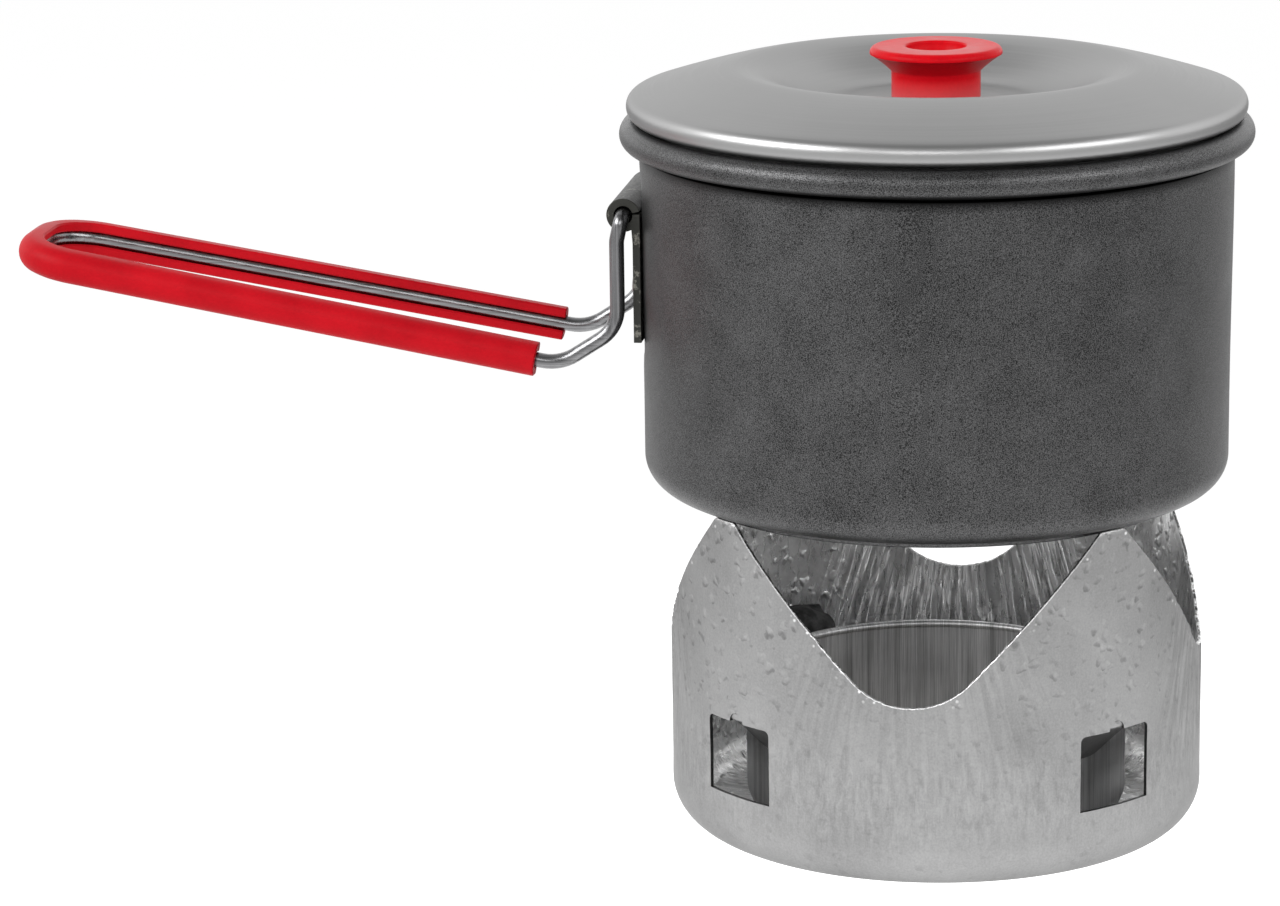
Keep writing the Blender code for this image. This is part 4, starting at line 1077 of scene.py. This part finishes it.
def grip_section():
    """The sleeve's outline: flat top and bottom, bulging outer side, and a groove for the wire."""
    half = GRIP_HALF_HEIGHT
    bulge = [(0.9 * MM, half - 0.05 * MM), (1.4 * MM, half - 0.25 * MM)]
    for i in range(13):
        angle = radians(BULGE_HALF_TURN * (1.0 - i / 6))
        side = GRIP_OUTER - GRIP_BULGE * (1.0 - cos(angle))
        bulge.append((side, (half - 0.45 * MM) * sin(angle) / sin(radians(BULGE_HALF_TURN))))
    bulge += [(1.4 * MM, -half + 0.25 * MM), (0.9 * MM, -half + 0.05 * MM)]
    mouth = 180.0 - degrees(asin(GRIP_MOUTH / GRIP_GROOVE))
    lip = 0.35 * MM
    low = [(-GRIP_LIP + lip, -half), (-GRIP_LIP, -half + lip)]
    low += [(-GRIP_LIP, -GRIP_MOUTH - lip), (-GRIP_LIP + lip, -GRIP_MOUTH)]
    high = [(side, -up) for side, up in reversed(low)]
    return bulge + low + arc((0.0, 0.0), GRIP_GROOVE, -mouth, mouth, 14) + high


def make_grip(look):
    share = (GRIP_START - KNEE_RUN) / (ARM_RUN - KNEE_RUN)
    start = LOOP_HALF_WIDTH + (TIP_HALF_WIDTH - LOOP_HALF_WIDTH) * share
    corners = both_arms([(on_arm(GRIP_START, -start), 0.0), (LOOP_CORNER, LOOP_BEND)])
    points = rounded(corners, 5.0, 2.5 * MM)
    across = Vector((sin(ARM_SLOPE), 0.0, cos(ARM_SLOPE)))
    stations = [(p, across.cross(direction(points, i)).normalized(), across) for i, p in enumerate(points)]
    shape = sweep(grip_section(), stations)
    grip = piece("handle_grip_sleeve", shape, [look], "handle", ["handle_grip"], 40.0)
    bevel(grip, "ends", 0.3 * MM, 3, 60.0)


# Lid and knob


def make_lid(look):
    path = line((LIP_RADIUS, LIP_Z), (LIP_RADIUS, LID_Z - 0.5 * MM), 4)
    path += arc((LIP_RADIUS + 0.5 * MM, LID_Z - 0.5 * MM), 0.5 * MM, 180.0, 90.0, 4)
    curl = (LID_RADIUS - LID_CURL, LID_Z + LID_CURL_HEIGHT)
    slope = degrees(atan(LID_CREST_BEND * LID_CREST_RISE / (curl[0] - LID_CREST_RADIUS)))
    tall = LID_CURL_HEIGHT / LID_CURL
    path += [(r, curl[1] + (z - curl[1]) * tall) for r, z in arc(curl, LID_CURL, -90.0, 90.0 - slope, 26)]
    start, height = path[-1]
    steps = 16
    for i in range(1, steps + 1):
        share = 1.0 - i / steps
        radius = LID_CREST_RADIUS + (start - LID_CREST_RADIUS) * share
        path.append((radius, LID_CREST_Z - (LID_CREST_Z - height) * share**LID_CREST_BEND))
    steps = 30
    for i in range(1, steps + 1):
        share = 1.0 - i / steps
        radius = DISH_FLOOR_RADIUS + (LID_CREST_RADIUS - DISH_FLOOR_RADIUS) * share
        path.append((radius, DISH_Z + (LID_CREST_Z - DISH_Z) * (1.0 - cos(pi * share)) / 2.0))
    path += line((DISH_FLOOR_RADIUS - 2.0 * MM, DISH_Z), (SCREW_HOLE, DISH_Z), 8) + [(SCREW_HOLE, DISH_Z)]
    shape = lathe(thick_section(path, LID_SHEET), LARGE_TURN)
    piece("lid_shell", shape, [look], "lid", ["lid"], 40.0)


def make_knob(look):
    edge, shoulder, foot = 0.45 * MM, 1.35 * MM, 0.4 * MM
    section = [(0.0, KNOB_BORE_TOP), (KNOB_BORE, KNOB_BORE_TOP), (KNOB_BORE, KNOB_Z)]
    section += [(KNOB_STEM - foot, KNOB_Z)] + arc((KNOB_STEM - foot, KNOB_Z + foot), foot, -60.0, 0.0, 3)
    low = Vector((KNOB_STEM, KNOB_CONE_LOW))
    high = Vector((KNOB_RADIUS - 0.1 * MM, KNOB_TOP - shoulder - 0.2 * MM))
    section += line((KNOB_STEM, KNOB_Z + 1.0 * MM), (KNOB_STEM, KNOB_CONE_LOW - 1.2 * MM), 5)
    for i in range(9):
        share = i / 8
        bend = low.lerp(high, share)
        section.append((bend.x - 0.25 * MM * sin(pi * share), bend.y))
    section += arc((KNOB_RADIUS - shoulder, KNOB_TOP - shoulder), shoulder, -8.0, 90.0, 12)
    section += line((KNOB_RADIUS - 1.9 * MM, KNOB_TOP), (KNOB_RECESS + edge, KNOB_TOP), 5)
    section += arc((KNOB_RECESS + edge, KNOB_TOP - edge), edge, 90.0, 180.0, 6)
    wall_low = (KNOB_RECESS - 0.8 * MM, KNOB_RECESS_Z + 0.6 * MM)
    section += line((KNOB_RECESS - 0.05 * MM, KNOB_TOP - 1.0 * MM), wall_low, 4)
    section += arc((wall_low[0] - 0.6 * MM, wall_low[1]), 0.6 * MM, 0.0, -90.0, 4) + [(0.0, KNOB_RECESS_Z)]
    piece("lid_knob_cap", lathe(section, KNOB_TURN), [look], "lid", ["lid_knob"], 50.0)


# Stage


def make_camera():
    right = UP.cross(CAMERA_BACK).normalized()
    up = CAMERA_BACK.cross(right)
    along, across = cos(CAMERA_ROLL), sin(CAMERA_ROLL)
    axes = Matrix((right * along + up * across, up * along - right * across, CAMERA_BACK)).transposed()
    data = bpy.data.cameras.new("camera")
    data.sensor_width = SENSOR_WIDTH
    data.lens = LENS
    data.clip_start = 0.01
    data.clip_end = 50.0
    camera = placed("camera", data)
    camera.matrix_world = Matrix.Translation(CAMERA_SPOT) @ axes.to_4x4()
    bpy.context.scene.camera = camera


def softbox(name, spot, width, height, power):
    data = bpy.data.lights.new(name, "AREA")
    data.shape = "RECTANGLE"
    data.size = width
    data.size_y = height
    data.energy = power
    lamp = placed(name, data)
    lamp.location = spot
    lamp.rotation_euler = (LIT_SPOT - lamp.location).to_track_quat("-Z", "Y").to_euler()


def make_floor():
    """A pale floor that reads as the photo's white ground and shines up at the part, most of all close by."""
    signs = ((-1.0, -1.0), (1.0, -1.0), (1.0, 1.0), (-1.0, 1.0))
    corners = [(FLOOR_HALF * x, FLOOR_HALF * y, 0.0) for x, y in signs]
    look = Look("floor_paper", (0.90, 0.90, 0.90), 0.9, 0.0)
    look.paint(look.shade(look.noise(3.0, 2.0), 0.0, 1.0, 0.99, 1.01))
    apart = look.field("VectorMath", "Value", {0: look.place}, operation="LENGTH")
    seen = look.field("LightPath", "Is Camera Ray")
    strength = look.math("MAXIMUM", seen * FLOOR_WHITE, look.span(apart, *FLOOR_LIGHT))
    glow = look.node("Emission", {"Color": WHITE, "Strength": strength})
    share = look.span(seen, 0.0, 1.0, 0.6, FLOOR_GLOW)
    mixed = look.field("MixShader", 0, {0: share, 1: look.shader.outputs[0], 2: glow.outputs[0]})
    look.feed(look.tree.nodes["Material Output"].inputs[0], mixed)
    placed("floor", mesh_of("floor", (corners, [(0, 1, 2, 3)], [0]), [look]))


def make_sky():
    """White for the camera; for the part, a studio that is bright low down behind and dark overhead."""
    world = bpy.data.worlds.new("studio")
    bpy.context.scene.world = world
    world.use_nodes = True
    made = Nodes(world.node_tree)
    _, depth, height = made.parts(made.field("TexCoord", "Generated"))
    ramp = made.node("ValToRGB", {0: made.span(height, -1.0, 1.0)})
    for step, _ in SKY_STEPS[1:-1]:
        ramp.color_ramp.elements.new((step + 1.0) / 2.0)
    for element, (step, grey) in zip(ramp.color_ramp.elements, SKY_STEPS):
        element.position = (step + 1.0) / 2.0
        element.color = (grey, grey, grey, 1.0)
    sky = world.node_tree.nodes["Background"]
    made.feed(sky.inputs["Color"], ramp.outputs[0])
    made.feed(sky.inputs["Strength"], made.span(depth, -0.3, 0.3, SKY_FRONT, SKY_BACK))
    backdrop = made.node("Background", {"Color": WHITE, "Strength": BACKDROP})
    seen = made.field("LightPath", "Is Camera Ray")
    mixed = made.field("MixShader", 0, {0: seen, 1: sky.outputs[0], 2: backdrop.outputs[0]})
    made.feed(world.node_tree.nodes["World Output"].inputs[0], mixed)


def main():
    make_camera()
    make_floor()
    make_sky()
    for box in SOFTBOXES:
        softbox(*box)
    bpy.context.scene.view_settings.view_transform = "Standard"

    sheet = shield_look("bright_aluminium", (0.31, 0.31, 0.31), 0.42, 0.06, 1.1, 0.25)
    # The inside copy of the sheet is painted far brighter than the outside, in place of light inside the
    # windshield; it also carries the ridges' painted highlights.
    sheet_inside_painted_light = shield_look("bright_aluminium_inside_painted_light", (1.4, 1.4, 1.4), 0.28, 0.85, 2.2, 1.0)
    # The bevelled edge corners and the flaps' edges: painted highlight.
    painted_glint = pitted_look(
        "edge_painted_glint", 0.92, 0.35, (1400.0, 3.0, 0.7), (0.32, 0.5, 0.5, 1.08), (0.14, 0.34), (0.08 * MM, 0.6)
    )
    dark_rolled_tab = pitted_look(
        "dark_rolled_tab_aluminium", 0.055, 0.5, (420.0, 4.0, 0.65), (0.4, 0.7, 0.5, 2.6), (0.55, 0.85), (0.3 * MM, 0.9)
    )
    make_shield(sheet, cut_edge_look(), sheet_inside_painted_light, painted_glint)
    make_tabs(sheet, painted_glint, dark_rolled_tab)
    make_cup(cup_look())
    make_pot(anodised_look("anodised_aluminium", (0.072, 0.072, 0.073), 0.40, 1.0),
             anodised_look("anodised_inside", (0.12, 0.12, 0.12), 0.42, 0.0))
    make_bracket(bracket_look("bracket_steel", (0.052, 0.052, 0.050), 0.0),
                 bracket_look("bracket_steel_edge", (0.046, 0.046, 0.041), 0.05))
    make_rivets(plain_metal_look("rivet_aluminium", (0.42, 0.42, 0.42), 0.38))
    make_wire(wire_look())
    make_grip(red_look("red_silicone", (0.44, 0.005, 0.011), 0.42, False))
    make_lid(lid_look())
    make_knob(red_look("red_knob", (0.60, 0.003, 0.009), 0.34, True))

    carried_over = {
        "fuel_pad": felt_look(),
        "pad_grid": plain_metal_look("grid_steel", (0.30, 0.29, 0.28), 0.45),
        "knob_insert": plain_metal_look("insert_brass", (0.62, 0.46, 0.18), 0.32),
        "knob_screw": plain_metal_look("fastener_steel", (0.50, 0.49, 0.47), 0.33),
        "knob_washer": plain_metal_look("washer_steel", (0.48, 0.47, 0.46), 0.36),
    }
    for node, look in carried_over.items():
        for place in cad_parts[node].material_slots:
            place.material = look.material


main()
